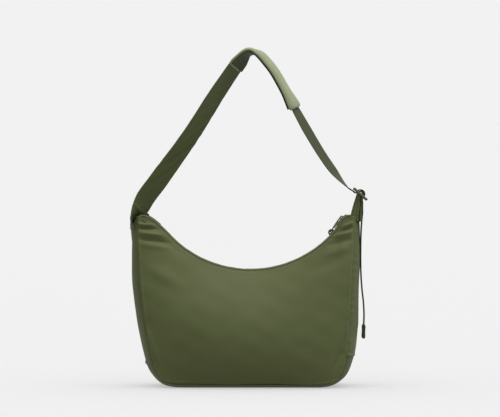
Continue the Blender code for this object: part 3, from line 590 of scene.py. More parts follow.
def painted_material(name, colour, roughness=0.34):
    """Painted zinc with a faint orange peel."""
    material = new_material(name, colour, roughness, metallic=0.25, specular=0.5)
    nodes = Nodes(material)
    place = nodes.add("ShaderNodeTexCoord")
    peel = nodes.noise(place.outputs["Object"], 700.0, 2.0)
    nodes.tint(peel, shade(colour, 0.92), shade(colour, 1.1))
    nodes.roughness(peel, roughness - 0.05, roughness + 0.08)
    nodes.bump(peel, 0.00003, 0.4)
    return material


def thread_material(name, colour):
    """Twisted sewing thread."""
    material = new_material(name, colour, 0.5, sheen=0.2, specular=0.4)
    nodes = Nodes(material)
    place = nodes.add("ShaderNodeTexCoord")
    twist = nodes.noise(place.outputs["Object"], 2600.0, 1.0)
    nodes.tint(twist, shade(colour, 0.8), shade(colour, 1.25))
    nodes.bump(twist, 0.00005, 0.7)
    return material


def board_material(name, colour):
    """Grey-green stiffener board with a matt fibre grain."""
    material = new_material(name, colour, 0.7, specular=0.3)
    nodes = Nodes(material)
    place = nodes.add("ShaderNodeTexCoord")
    fibre = nodes.noise(place.outputs["Object"], 500.0, 4.0)
    nodes.tint(fibre, shade(colour, 0.8), shade(colour, 1.3))
    nodes.bump(fibre, 0.00005, 0.6)
    return material


MADE = {}


def finish_of(name):
    """The bag's materials, each made once."""
    if name in MADE:
        return MADE[name]
    colours = settings()[2]
    makers = {
        "shell": lambda: twill_material("shell_nylon", tuple(colours.shell)),
        "gusset": lambda: twill_material("gusset_nylon", tuple(colours.gusset)),
        "strap": lambda: twill_material("strap_nylon", tuple(colours.strap), contrast=0.14),
        # The pad's cloth takes its light colour, which holds painted sheen.
        "pad": lambda: twill_material("pad_nylon_painted_sheen", tuple(colours.pad), sheen=0.15),
        # The pad's underside is the strap's colour darkened: painted shade under the pad.
        "underside": lambda: twill_material("pad_underside_painted_shade", shade(colours.strap, 0.55)),
        "lining": lambda: twill_material("lining_cloth", shade(colours.gusset, 0.5), 0.0004, 0.7, 0.1),
        # Webbing, tail and hem share this colour, darkened past the webbing's own tone as painted shade.
        "webbing": lambda: webbing_material("ribbed_webbing_painted_shade", tuple(colours.webbing)),
        "thread": lambda: thread_material("sewing_thread", tuple(colours.thread)),
        "tape": lambda: tape_material("zip_tape_weave", tuple(colours.tape)),
        "coil": lambda: moulded_material("coil_monofilament", tuple(colours.coil), 0.35),
        "slider": lambda: painted_material("slider_enamel", tuple(colours.coil)),
        "plastic": lambda: moulded_material("adjuster_plastic", tuple(colours.plastic)),
        # The pull's cord takes the pad's colour with its painted sheen.
        "cord": lambda: twill_material("pull_braid", tuple(colours.pad), 0.0009, 0.6),
        "board": lambda: board_material("stiffener_board", (0.030, 0.032, 0.026)),
    }
    MADE[name] = makers[name]()
    return MADE[name]


# ---------------------------------------------------------------- meshes


def grid_object(name, grid, finish, thickness=0.0, offset=-1.0, scale=(1.0, 1.0)):
    """A cloth sheet from a grid of points, with a UV map in metres, thickened and applied."""
    rows, columns = grid.shape[:2]
    index = np.arange(rows * columns).reshape(rows, columns)
    quads = np.stack([index[:-1, :-1], index[1:, :-1], index[1:, 1:], index[:-1, 1:]], axis=-1)
    quads = quads.reshape(-1, 4)
    mesh = bpy.data.meshes.new(name)
    mesh.from_pydata(grid.reshape(-1, 3).tolist(), [], quads.tolist())
    middle_row, middle_column = rows // 2, columns // 2
    across = lengths_along(grid[:, middle_column]) * scale[0]
    along = lengths_along(grid[middle_row]) * scale[1]
    uv = np.stack(np.broadcast_arrays(across[:, None], along[None, :]), axis=-1).reshape(-1, 2)
    layer = mesh.uv_layers.new(name="Cloth")
    layer.data.foreach_set("uv", uv[quads.ravel()].ravel())
    mesh.materials.append(finish_of(finish))
    mesh.shade_smooth()
    obj = bpy.data.objects.new(name, mesh)
    bpy.context.scene.collection.objects.link(obj)
    if thickness:
        solidify = obj.modifiers.new("Thickness", "SOLIDIFY")
        solidify.thickness = thickness
        solidify.offset = offset
        apply_modifiers(obj)
    return obj


def select_only(obj):
    """Selects this object alone and makes it the active one."""
    for other in bpy.context.selected_objects:
        other.select_set(False)
    obj.select_set(True)
    bpy.context.view_layer.objects.active = obj


def apply_modifiers(obj):
    select_only(obj)
    for modifier in list(obj.modifiers):
        bpy.ops.object.modifier_apply(modifier=modifier.name)


def tube_object(name, path, radius, finish, sides=6, closed=False):
    """A round thread or wire along points in space, made from a bevelled curve."""
    curve = bpy.data.curves.new(name, "CURVE")
    curve.dimensions = "3D"
    curve.bevel_depth = radius
    curve.bevel_resolution = max(0, sides // 2 - 2)
    curve.use_fill_caps = not closed
    spline = curve.splines.new("POLY")
    spline.points.add(len(path) - 1)
    spline.points.foreach_set("co", np.column_stack([path, np.ones(len(path))]).ravel())
    spline.use_cyclic_u = closed
    obj = bpy.data.objects.new(name, curve)
    bpy.context.scene.collection.objects.link(obj)
    select_only(obj)
    bpy.ops.object.convert(target="MESH")
    obj = bpy.context.view_layer.objects.active
    obj.data.materials.append(finish_of(finish))
    obj.data.shade_smooth()
    return obj


def stitch_row(name, points, normals, body, spacing=None, radius=0.00024, sunk=0.25):
    """A row of lockstitches along points that lie on a cloth."""
    pitch = spacing or settings()[0].stitch
    total = lengths_along(points)[-1]
    count = max(1, int(total / pitch))
    shares = np.linspace(0.0, 1.0, 2 * count + 1)
    places = at_shares(points, shares)
    ups = at_shares(np.column_stack([np.linspace(0, 1, len(normals)), normals]), shares)[:, 1:]
    ring = [(math.cos(a), math.sin(a)) for a in np.linspace(0, 2 * math.pi, 6, endpoint=False)]
    profile = [
        (-0.98, 0.35, -0.9), (-0.72, 0.85, 0.25), (0.0, 1.0, 0.8), (0.72, 0.85, 0.25), (0.98, 0.35, -0.9),
    ]
    vertices, faces = [], []
    for k in range(count):
        centre = places[2 * k + 1]
        forward = (places[2 * k + 2] - places[2 * k]) / 2 * 0.86
        up = ups[2 * k + 1] / np.linalg.norm(ups[2 * k + 1])
        side = np.cross(forward, up)
        side /= np.linalg.norm(side)
        first = len(vertices)
        for along, size, lift in profile:
            middle = centre + forward * along + up * radius * (lift - sunk)
            for c, s in ring:
                vertices.append(middle + (side * c + up * s) * radius * size)
        for r in range(len(profile) - 1):
            for q in range(6):
                a, b = first + 6 * r + q, first + 6 * r + (q + 1) % 6
                faces.append((a, b, b + 6, a + 6))
        faces.append(tuple(first + q for q in range(5, -1, -1)))
        faces.append(tuple(first + 6 * (len(profile) - 1) + q for q in range(6)))
    mesh = bpy.data.meshes.new(name)
    mesh.from_pydata([tuple(v) for v in vertices], [], faces)
    mesh.materials.append(finish_of("thread"))
    mesh.shade_smooth()
    obj = bpy.data.objects.new(name, mesh)
    bpy.context.scene.collection.objects.link(obj)
    face_outwards(obj)
    if body:
        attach(obj, body)
    return obj


def face_outwards(obj):
    """Turns every face of a closed mesh outwards."""
    bm = bmesh.new()
    bm.from_mesh(obj.data)
    bmesh.ops.recalc_face_normals(bm, faces=bm.faces)
    bm.to_mesh(obj.data)
    bm.free()


# ---------------------------------------------------------------- bands


def route_line(first):
    """The strap's centre line as dense points, and its eased turn at each of them."""
    knots = [(x * HALF_WIDTH, FOLD_HEIGHT + z * STRAP_RISE) for x, z, _ in first + STRAP_ROUTE]
    turns = [turn for _, _, turn in first + STRAP_ROUTE]
    line = smooth_curve(knots)
    nearest = [int(np.argmin(np.linalg.norm(line - knot, axis=1))) for knot in np.array(knots)]
    spread = np.interp(np.arange(len(line)), nearest, turns)
    kernel = np.hanning(161)
    kernel /= kernel.sum()
    eased = np.convolve(np.pad(spread, 80, mode="edge"), kernel, "valid")
    return line, eased


def resample(line, turns, start, end, count):
    """Even points, and their turns, between two shares of a line."""
    shares = np.linspace(start, end, count)
    along = lengths_along(line)
    return at_shares(line, shares), np.interp(shares * along[-1], along, turns)


def band_frames(line, turns):
    """Place, across and outer directions of a band at each point of its line."""
    tangent = np.gradient(line, axis=0)
    tangent /= np.linalg.norm(tangent, axis=1, keepdims=True)
    outward = np.stack([-tangent[:, 1], np.zeros(len(line)), tangent[:, 0]], axis=1)
    place = np.stack([line[:, 0], np.zeros(len(line)), line[:, 1]], axis=1)
    turn = np.radians(turns)[:, None]
    y_axis = np.array([[0.0, 1.0, 0.0]])
    across = y_axis * np.cos(turn) - outward * np.sin(turn)
    outer = outward * np.cos(turn) + y_axis * np.sin(turn)
    return place, across, outer


def ring_band(name, line, turns, profile, finish, ends=0.0):
    """A closed band: at each point of its line, a loop of (across, out) offsets in metres.

    The profile is a function of the distance along the band, which gives such a loop.
    """
    place, across, outer = band_frames(line, turns)
    along = lengths_along(line)
    loops = np.array([profile(distance, distance / along[-1]) for distance in along])
    grid = place[:, None] + across[:, None] * loops[:, :, :1] + outer[:, None] * loops[:, :, 1:]
    rows, columns = grid.shape[:2]
    if ends:
        for row in (0, rows - 1):
            centre = grid[row].mean(axis=0)
            grid[row] = centre + (grid[row] - centre) * (1.0 - ends)
    index = np.arange(rows * columns).reshape(rows, columns)
    following = np.roll(index, -1, axis=1)
    quads = np.stack([index[:-1], following[:-1], following[1:], index[1:]], axis=-1).reshape(-1, 4)
    faces = quads.tolist() + [index[0][::-1].tolist(), index[-1].tolist()]
    mesh = bpy.data.meshes.new(name)
    mesh.from_pydata(grid.reshape(-1, 3).tolist(), [], faces)
    girth = lengths_along(np.vstack([loops[rows // 2], loops[rows // 2][:1]]))
    layer = mesh.uv_layers.new(name="Cloth")
    uv = []
    for i in range(rows - 1):
        for j in range(columns):
            near, far, low, high = girth[j], girth[j + 1], along[i], along[i + 1]
            uv += [near, low, far, low, far, high, near, high]
    for row, order in ((0, range(columns - 1, -1, -1)), (rows - 1, range(columns))):
        for j in order:
            uv += [loops[row][j][0], along[row] + loops[row][j][1]]
    layer.data.foreach_set("uv", uv)
    mesh.materials.append(finish_of(finish))
    mesh.shade_smooth()
    mesh.set_sharp_from_angle(angle=math.radians(50))
    obj = bpy.data.objects.new(name, mesh)
    bpy.context.scene.collection.objects.link(obj)
    face_outwards(obj)
    return obj


def flat_loop(half, thick, points=17, ribs=0, rib=0.0):
    """A thin rounded strip's outline: its top from one edge to the other, then its underside."""
    across = half * np.sin(np.linspace(-math.pi / 2, math.pi / 2, points) * 0.94) / math.sin(0.47 * math.pi)
    edge = np.sqrt(np.clip(1.0 - (np.abs(across) / half) ** 14, 0.0, 1.0))
    height = thick / 2 * (0.35 + 0.65 * edge)
    if ribs:
        height = height + rib * np.abs(np.cos(across / half * math.pi * ribs / 2))
    top = np.stack([across, height], axis=1)
    low = np.stack([across[::-1], -height[::-1]], axis=1)
    return np.concatenate([top, low])


# ---------------------------------------------------------------- studio


def sweep_material(colour):
    material = new_material("studio_sweep", colour, 0.9, specular=0.0)
    shader = material.node_tree.nodes["Principled BSDF"]
    shader.inputs["Emission Color"].default_value = (1.0, 1.0, 1.0, 1.0)
    shader.inputs["Emission Strength"].default_value = 0.40
    nodes = Nodes(material)
    place = nodes.add("ShaderNodeTexCoord")
    cloud = nodes.noise(place.outputs["Object"], 0.35, 1.0)
    nodes.tint(cloud, shade(colour, 0.985), shade(colour, 1.0))
    return material


class HOBO_OT_stage(bpy.types.Operator):
    """Adds the camera, the soft lights and the pale sweep"""

    bl_idname = "hobo.stage"
    bl_label = "Studio"

    def execute(self, context):
        scene = context.scene
        camera_data = bpy.data.cameras.new("camera")
        camera_data.sensor_width = 36.0
        distance = 4.0
        camera_data.lens = 36.0 * distance / 0.780
        camera = bpy.data.objects.new("camera", camera_data)
        scene.collection.objects.link(camera)
        camera.location = (0.007, -distance, 0.2765)
        camera.rotation_euler = (math.radians(90.0), 0.0, 0.0)
        camera_data.clip_end = 100.0
        scene.camera = camera
        scene.view_settings.view_transform = "Standard"
        floor = self.sweep(context)
        self.lights(scene, floor)
        world = bpy.data.worlds.new("studio_air")
        scene.world = world
        world.use_nodes = True
        background = world.node_tree.nodes["Background"]
        background.inputs["Color"].default_value = (1.0, 1.0, 1.0, 1.0)
        background.inputs["Strength"].default_value = 0.80
        return {"FINISHED"}

    def sweep(self, context):
        rings = [(0.0, 0.0)] + [(r, 0.0) for r in (0.5, 1.5, 3.0, 5.0, 6.5)]
        for step in range(1, 15):
            turn = math.radians(step * 5.0)
            rings.append((6.5 + 7.0 * math.sin(turn), 7.0 * (1.0 - math.cos(turn))))
        bm = bmesh.new()
        profile = [bm.verts.new((radius, 0.0, height)) for radius, height in rings]
        edges = [bm.edges.new(pair) for pair in zip(profile, profile[1:])]
        bmesh.ops.spin(
            bm, geom=profile + edges, axis=(0, 0, 1), cent=(0, 0, 0), steps=96,
            angle=2 * math.pi, use_merge=True,
        )
        bmesh.ops.remove_doubles(bm, verts=bm.verts, dist=1e-5)
        bmesh.ops.recalc_face_normals(bm, faces=bm.faces)
        mesh = bpy.data.meshes.new("studio_sweep")
        bm.to_mesh(mesh)
        bm.free()
        mesh.shade_smooth()
        mesh.materials.append(sweep_material(tuple(settings()[2].floor)))
        floor = bpy.data.objects.new("studio_sweep", mesh)
        context.scene.collection.objects.link(floor)
        return floor

    def lights(self, scene, floor):
        """Soft lamps that shine on the bag and not on the sweep, which has its own glow."""
        spared = bpy.data.collections.new("lamps_spare_the_sweep")
        spared.objects.link(floor)
        spared.collection_objects[0].light_linking.link_state = "EXCLUDE"
        spots = [
            ("top_softbox", (0.42, -0.38, 2.3), 1.0, 62.0),
            ("right_softbox", (2.2, -0.5, 1.4), 1.0, 12.0),
            ("back_softbox", (-0.6, 1.8, 2.0), 1.3, 12.0),
        ]
        for name, place, size, power in spots:
            light = bpy.data.lights.new(name, "AREA")
            light.shape = "DISK"
            light.size = size
            light.energy = power
            lamp = bpy.data.objects.new(name, light)
            scene.collection.objects.link(lamp)
            lamp.light_linking.receiver_collection = spared
            lamp.location = place
            aim = Vector((0.0, 0.0, 0.22)) - lamp.location
            lamp.rotation_euler = aim.to_track_quat("-Z", "Y").to_euler()


# ---------------------------------------------------------------- webbing tail (free cord)


def tail_line():
    return smooth_curve(TAIL_ROUTE)


HEM_LENGTH = 0.022


class HOBO_OT_tail(bpy.types.Operator):
    """Adds the free end of the webbing and its folded, box-stitched hem"""

    bl_idname = "hobo.tail"
    bl_label = "Webbing tail"

    def execute(self, context):
        strap = settings()[1]
        line = tail_line()
        length = lengths_along(line)[-1]
        split = 1.0 - HEM_LENGTH / length
        run = at_shares(line, np.linspace(0.0, 1.0 - 0.0007 / length, 150))
        half, thick = strap.webbing / 2, strap.webbing_thick

        def profile(distance, share):
            start = min(1.0, 0.9 + distance / 0.02)
            return flat_loop(half * (0.985 if share > split else 1.0), thick * start, 33, 11, WEBBING_RIB)

        tail = ring_band("webbing_tail_cloth", run, np.zeros(len(run)), profile, "webbing")
        place = band_frames(run, np.zeros(len(run)))[0]
        fold = at_shares(line, np.linspace(split, 1.0, 40))

        def hem_profile(distance, share):
            # The webbing is turned up twice, so the hem is three layers thick and round at its foot.
            swell = math.sin(min(1.0, distance / 0.0022) * math.pi / 2)
            foot = math.sqrt(max(0.0, 1.0 - max(0.0, (share - 0.88) / 0.12) ** 2))
            wave = 0.00025 * math.sin(share * math.pi * 3)
            hem_thick = (HEM_THICK * (0.42 + 0.58 * swell) + wave) * (0.25 + 0.75 * foot)
            return flat_loop(half, hem_thick, 33, 11, WEBBING_RIB)

        hem = ring_band("tail_hem_cloth", fold, np.zeros(len(fold)), hem_profile, "webbing")
        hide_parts("webbing_tail")
        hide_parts("tail_hem")
        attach(tail, "tail")
        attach(hem, "tail")
        pieces = [hem] + self.box_stitch(fold, half)
        tuple(place[0])
        float(lengths_along(place)[-1])
        return {"FINISHED"}

    def box_stitch(self, fold, half):
        """Two rows across the hem on both faces."""
        place, across, outer = band_frames(fold, np.zeros(len(fold)))
        rows = []
        for number, share in enumerate((0.16, 0.74)):
            k = int(share * (len(fold) - 1))
            for side in (-1.0, 1.0):
                name = f"hem_stitch_{number}_{'out' if side > 0 else 'in'}"
                ends = [place[k] + across[k] * half * 0.86 * end for end in (-1.0, 1.0)]
                points = np.array(ends) + outer[k] * side * (HEM_THICK / 2 + 0.0001)
                normals = np.array([outer[k] * side] * 2)
                rows.append(stitch_row(name, points, normals, "tail", 0.0026, 0.0003))
        return rows


HEM_THICK = 0.0048


# ---------------------------------------------------------------- panels and gussets


class HOBO_OT_panels(bpy.types.Operator):
    """Adds the front and back panels with their folds and puckered seams"""

    bl_idname = "hobo.panels"
    bl_label = "Panels"

    def execute(self, context):
        cloth = settings()[0].cloth
        us, vs = close_ends(190), close_ends(120)
        front = grid_object("front_panel_cloth", panel_grid(us, vs, 4), "shell", cloth)
        back_grid = panel_grid(us, vs, 11)[::-1] * np.array([1.0, -1.0, 1.0])
        back = grid_object("back_panel_cloth", back_grid, "shell", cloth)
        for piece, node in ((front, "front_panel"), (back, "back_panel")):
            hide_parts(node)
            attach(piece, "bag")
        sheet_of(panel_grid(us, vs, 4))
        sheet_of(back_grid)
        self.top_stitching(us)
        return {"FINISHED"}

    def top_stitching(self, us):
        """A row of stitches just below each panel's top edge."""
        vs = np.array([0.955, 0.9675, 0.98, 1.0])
        for seed, name, flip in ((4, "front_top_stitch", 1.0), (11, "back_top_stitch", -1.0)):
            whole = panel_grid(close_ends(190), np.concatenate([close_ends(120)[:-12], vs]), seed)
            grid = whole[8:-8, -4:-1]
            normals = grid_normals(grid)[:, 1]
            mirror = np.array([1.0, flip, 1.0])
            stitch_row(name, grid[:, 1] * mirror, normals * mirror, "bag")


ACROSS_DENSE = np.sin(np.linspace(-math.pi / 2, math.pi / 2, 41) * 0.985) / math.sin(0.4925 * math.pi)


# How full the gussets are, against the share of the height: pinched under each horn.
BULGE_PLACES = (0.0, 0.15, 0.36, 0.48, 0.60, 0.84, 0.93, 1.0)
LEFT_BULGE = (1.35, 1.65, 1.75, 1.75, 1.60, 1.00, 1.35, 0.05)
RIGHT_BULGE = (1.35, 1.60, 1.95, 1.80, 1.62, 1.38, 1.35, 1.25)


def gusset_grid(start, end, count, seed, inset=0.0018):
    """The strip between the panels, round on the sides and flat on the ground."""
    sizes = settings()[0]
    outline = at_shares(SEAM, np.linspace(start, end, count))
    smooth = softened(SEAM, 301)
    tangent = np.gradient(at_shares(smooth, np.linspace(start, end, count)), axis=0)
    tangent /= np.linalg.norm(tangent, axis=1, keepdims=True)
    outward = np.stack([tangent[:, 1], -tangent[:, 0]], axis=1)
    side = ACROSS_DENSE[None, :]
    half = (gusset_half_depth(outline[:, 1]) - inset)[:, None]
    downward = (np.maximum(0.0, -outward[:, 1]) ** 2)[:, None]
    height_share = (outline[:, 1:] - BASE_SEAM_LIFT) / (HORN_HEIGHT - BASE_SEAM_LIFT)
    stuffed = np.where(
        outline[:, :1] < 0,
        np.interp(height_share, BULGE_PLACES, LEFT_BULGE),
        np.interp(height_share, BULGE_PLACES, RIGHT_BULGE),
    )
    stand_out = sizes.side_bulge * stuffed * (1 - downward) + BASE_SEAM_LIFT * downward
    flat = np.clip((1.0 - np.abs(side)) / 0.38, 0.0, 1.0)
    flat = 1.0 - (1.0 - flat) ** 2
    height = stand_out * ((1.0 - np.abs(side) ** 2.6) * (1 - downward) + flat * downward)
    along = (np.linspace(start, end, count) * lengths_along(SEAM)[-1])[:, None]
    to_seam = half * (1.0 - np.abs(side))
    relief = 0.0008 * smooth_noise(along, side * half, 0.060, seed) * (1.0 - side**2)
    pucker = smooth_noise(along, 0.0 * along, 0.012, seed + 1)
    relief = relief + 0.0007 * pucker * np.exp(-((to_seam / 0.008) ** 2))
    relief = relief * sizes.wrinkle * (1 - downward) ** 2
    relief = relief - 0.0022 * (1 - downward) * np.exp(-((to_seam / 0.0019) ** 2))
    height = height + relief
    grid = np.zeros((count, side.shape[1], 3))
    grid[:, :, 0] = outline[:, :1] + outward[:, :1] * height
    grid[:, :, 1] = side * half
    grid[:, :, 2] = np.maximum(outline[:, 1:] + outward[:, 1:] * height, 0.0)
    return grid[:, ::-1]


HORN_SHARE = 0.004  # how near the horn's tip the left gusset runs, under the strap's foot


class HOBO_OT_gussets(bpy.types.Operator):
    """Adds the side gussets, the base and the stitched cross seams where they meet"""

    bl_idname = "hobo.gussets"
    bl_label = "Gussets and base"

    def execute(self, context):
        cloth = settings()[0].cloth
        parts = [
            ("left_gusset_cloth", HORN_SHARE, LEFT_BASE_SEAM, 120, "left_gusset", 21),
            ("base_cloth", LEFT_BASE_SEAM, RIGHT_BASE_SEAM, 170, "base_panel", 33),
            ("right_gusset_cloth", RIGHT_BASE_SEAM, 0.999, 120, "right_gusset", 45),
        ]
        for name, start, end, count, node, seed in parts:
            piece = grid_object(name, gusset_grid(start, end, count, seed), "gusset", cloth)
            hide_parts(node)
            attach(piece, "bag")
            sheet_of(gusset_grid(start, end, count, seed))
        self.cross_seams()
        return {"FINISHED"}

    def cross_seams(self):
        """Ridges of folded cloth where a gusset is sewn to the base."""
        for name, share in (("left_cross_seam", LEFT_BASE_SEAM), ("right_cross_seam", RIGHT_BASE_SEAM)):
            grid = gusset_grid(share - 0.0035, share + 0.0035, 15, 7, 0.0008)
            normals = grid_normals(grid)
            swell = np.cos(np.linspace(-math.pi / 2, math.pi / 2, 15)) ** 0.7
            raised = grid + normals * (0.0013 * swell)[:, None, None]
            ridge = grid_object(name, raised, "gusset", 0.0012)
            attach(ridge, "bag")
            middle = raised[9]
            stitch_row(f"{name}_stitch", middle[2:-2], normals[9][2:-2], "bag")


# ---------------------------------------------------------------- zip


def edge_strip(curve_for, ys, lifts, shares):
    columns = [at_shares(curve_for(lift), shares) for lift in lifts]
    grid = np.zeros((len(shares), len(ys), 3))
    for j, (column, y) in enumerate(zip(columns, ys)):
        grid[:, j, 0], grid[:, j, 1], grid[:, j, 2] = column[:, 0], y, column[:, 1]
    return grid


def zip_arc(lift=0.0, span=ZIP_HALF_SPAN):
    angles = np.linspace(-span, span, 800)
    return np.array([on_zip(angle, lift) for angle in angles])


class HOBO_OT_zip(bpy.types.Operator):
    """Adds the zip's facings, tapes, coils and end tabs"""

    bl_idname = "hobo.zip"
    bl_label = "Zip"

    def execute(self, context):
        mirror = np.array([1.0, -1.0, 1.0])
        shares = np.linspace(0.012, 0.988, 260)
        ys = -np.array([0.0166, 0.0164, 0.0156, 0.0140, 0.0120, 0.0095, 0.0072, 0.0060, 0.0056])
        lifts = np.array([0.0001, 0.0008, 0.0013, 0.0017, 0.0020, 0.0021, 0.0020, 0.0017, 0.0012])
        facing = edge_strip(top_edge, ys, lifts, shares)
        widening = 0.0030 * np.abs(2 * shares - 1) ** 6
        facing[:, :, 1] -= widening[:, None] * np.linspace(1.0, 0.0, len(ys))[None, :] ** 0.5
        ripple = 0.00025 * smooth_noise(facing[:, :, 0], facing[:, :, 1], 0.012, 70)
        facing[:, 1:-1, 2] += ripple[:, 1:-1]
        tape = edge_strip(zip_arc, -np.array([0.0132, 0.0070, 0.0010]), (0.0,) * 3, np.linspace(0, 1, 160))
        for side, flip in (("front", None), ("back", mirror)):
            face = facing if flip is None else facing[::-1] * flip
            band = tape if flip is None else tape[::-1] * flip
            cover = grid_object(f"zip_facing_cloth_{side}", face, "gusset", 0.0009)
            woven = grid_object(f"zip_tape_weave_{side}", band, "tape", 0.0006)
            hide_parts(f"zip_facing_{side}")
            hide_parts(f"zip_tape_{side}")
            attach(cover, "bag")
            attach(woven, "bag")
            row = face[:, 6]
            stitch_row(f"zip_stitch_{side}", row[4:-4], grid_normals(face)[4:-4, 6], "bag")
            coil = self.coil(side, 1.0 if flip is None else -1.0)
            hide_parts(f"zip_coil_{side}")
            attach(coil, "bag")
        self.ends()
        return {"FINISHED"}

    def coil(self, side, sign):
        """One row of coil: a filament wound round a flat oval all along the tape."""
        pitch = 0.0015
        length = ZIP_RADIUS * 2 * ZIP_HALF_SPAN
        turns = int(length / pitch)
        steps = np.arange(turns * 9 + 1)
        phase = steps / 9 * 2 * math.pi
        angle = -ZIP_HALF_SPAN + steps / (turns * 9) * 2 * ZIP_HALF_SPAN
        lift = 0.0013 + 0.00062 * np.sin(phase)
        y = -sign * (0.0020 + 0.00085 * np.cos(phase))
        radius = ZIP_RADIUS - lift
        x = ZIP_CENTRE[0] + radius * np.sin(angle)
        z = ZIP_CENTRE[1] - radius * np.cos(angle)
        return tube_object(f"zip_coil_turns_{side}", np.column_stack([x, y, z]), 0.00031, "coil", 4)

    def ends(self):
        """Folded tabs over the zip's ends; the left one is a small loop that stands up."""
        for name, node, start, end in (
            ("zip_end_tab_left", "zip_end_left", 0.030, 0.105),
            ("zip_end_tab_right", "zip_end_right", 0.895, 0.970),
        ):
            shares = np.linspace(start, end, 30)
            ys = np.linspace(-0.0054, 0.0054, 9)
            lifts = 0.0024 + 0.0009 * (1 - (ys / 0.0054) ** 2)
            grid = edge_strip(top_edge, ys, lifts, shares)
            tab = grid_object(name, grid, "tape", 0.0012)
            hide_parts(node)
            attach(tab, "bag")
            for row in (2, -3):
                stitch_row(f"{name}_stitch_{row % 9}", grid[row], grid_normals(grid)[row], "bag", 0.0016)
        centre = np.array([-0.1540, 0.2650])
        turn = np.linspace(-0.25 * math.pi, 1.25 * math.pi, 40)
        loop = np.column_stack([centre[0] + 0.0023 * np.cos(turn), centre[1] + 0.0026 * np.sin(turn)])

        def profile(distance, share):
            return flat_loop(0.0060, 0.0034, 13)

        standing = ring_band("zip_end_loop", loop[::-1], np.zeros(len(loop)), profile, "tape")
        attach(standing, "bag")


# ---------------------------------------------------------------- slider and pull


ZIP_ALONG = np.array([math.cos(SLIDER_ANGLE), math.sin(SLIDER_ANGLE)])
ZIP_UP = np.array([-math.sin(SLIDER_ANGLE), math.cos(SLIDER_ANGLE)])


def move_to_slope(obj, origin, along, up):
    """Puts a piece that was modelled flat at the origin onto a sloping place, in its mesh."""
    coordinates = np.zeros(len(obj.data.vertices) * 3)
    obj.data.vertices.foreach_get("co", coordinates)
    local = coordinates.reshape(-1, 3)
    placed = np.zeros_like(local)
    placed[:, 0] = origin[0] + local[:, 0] * along[0] + local[:, 2] * up[0]
    placed[:, 1] = local[:, 1]
    placed[:, 2] = origin[1] + local[:, 0] * along[1] + local[:, 2] * up[1]
    obj.data.vertices.foreach_set("co", placed.ravel())
    obj.data.update()


def flat_block(name, size, centre, finish, bevel=0.0004, segments=3):
    """A block with rounded edges, modelled at its place before it is moved onto a slope."""
    for other in bpy.context.selected_objects:
        other.select_set(False)
    bpy.ops.mesh.primitive_cube_add(size=1.0, location=centre)
    obj = bpy.context.active_object
    obj.name = name
    obj.data.name = name
    obj.scale = size
    bpy.ops.object.transform_apply(location=True, rotation=True, scale=True)
    rounding = obj.modifiers.new("Edges", "BEVEL")
    rounding.width = bevel
    rounding.segments = segments
    apply_modifiers(obj)
    obj.data.materials.append(finish_of(finish))
    return obj


def narrow_end(obj, beyond, factor):
    """Draws in the part of a block that lies past an X."""
    select_only(obj)
    bpy.ops.object.mode_set(mode="EDIT")
    bm = bmesh.from_edit_mesh(obj.data)
    for vertex in bm.verts:
        vertex.select = vertex.co.x > beyond
    bm.select_flush_mode()
    bmesh.update_edit_mesh(obj.data)
    bpy.ops.transform.resize(value=(1.0, factor, 1.0), center_override=(beyond, 0.0, 0.0))
    bpy.ops.object.mode_set(mode="OBJECT")


def join_smooth(objects, name):
    """Joins pieces into one object with soft shading."""
    for other in bpy.context.selected_objects:
        other.select_set(False)
    for obj in objects:
        obj.select_set(True)
    bpy.context.view_layer.objects.active = objects[0]
    if len(objects) > 1:
        bpy.ops.object.join()
    obj = bpy.context.active_object
    obj.name = name
    obj.data.name = name
    select_only(obj)
    bpy.ops.object.shade_smooth_by_angle(angle=math.radians(38))
    apply_modifiers(obj)
    return obj


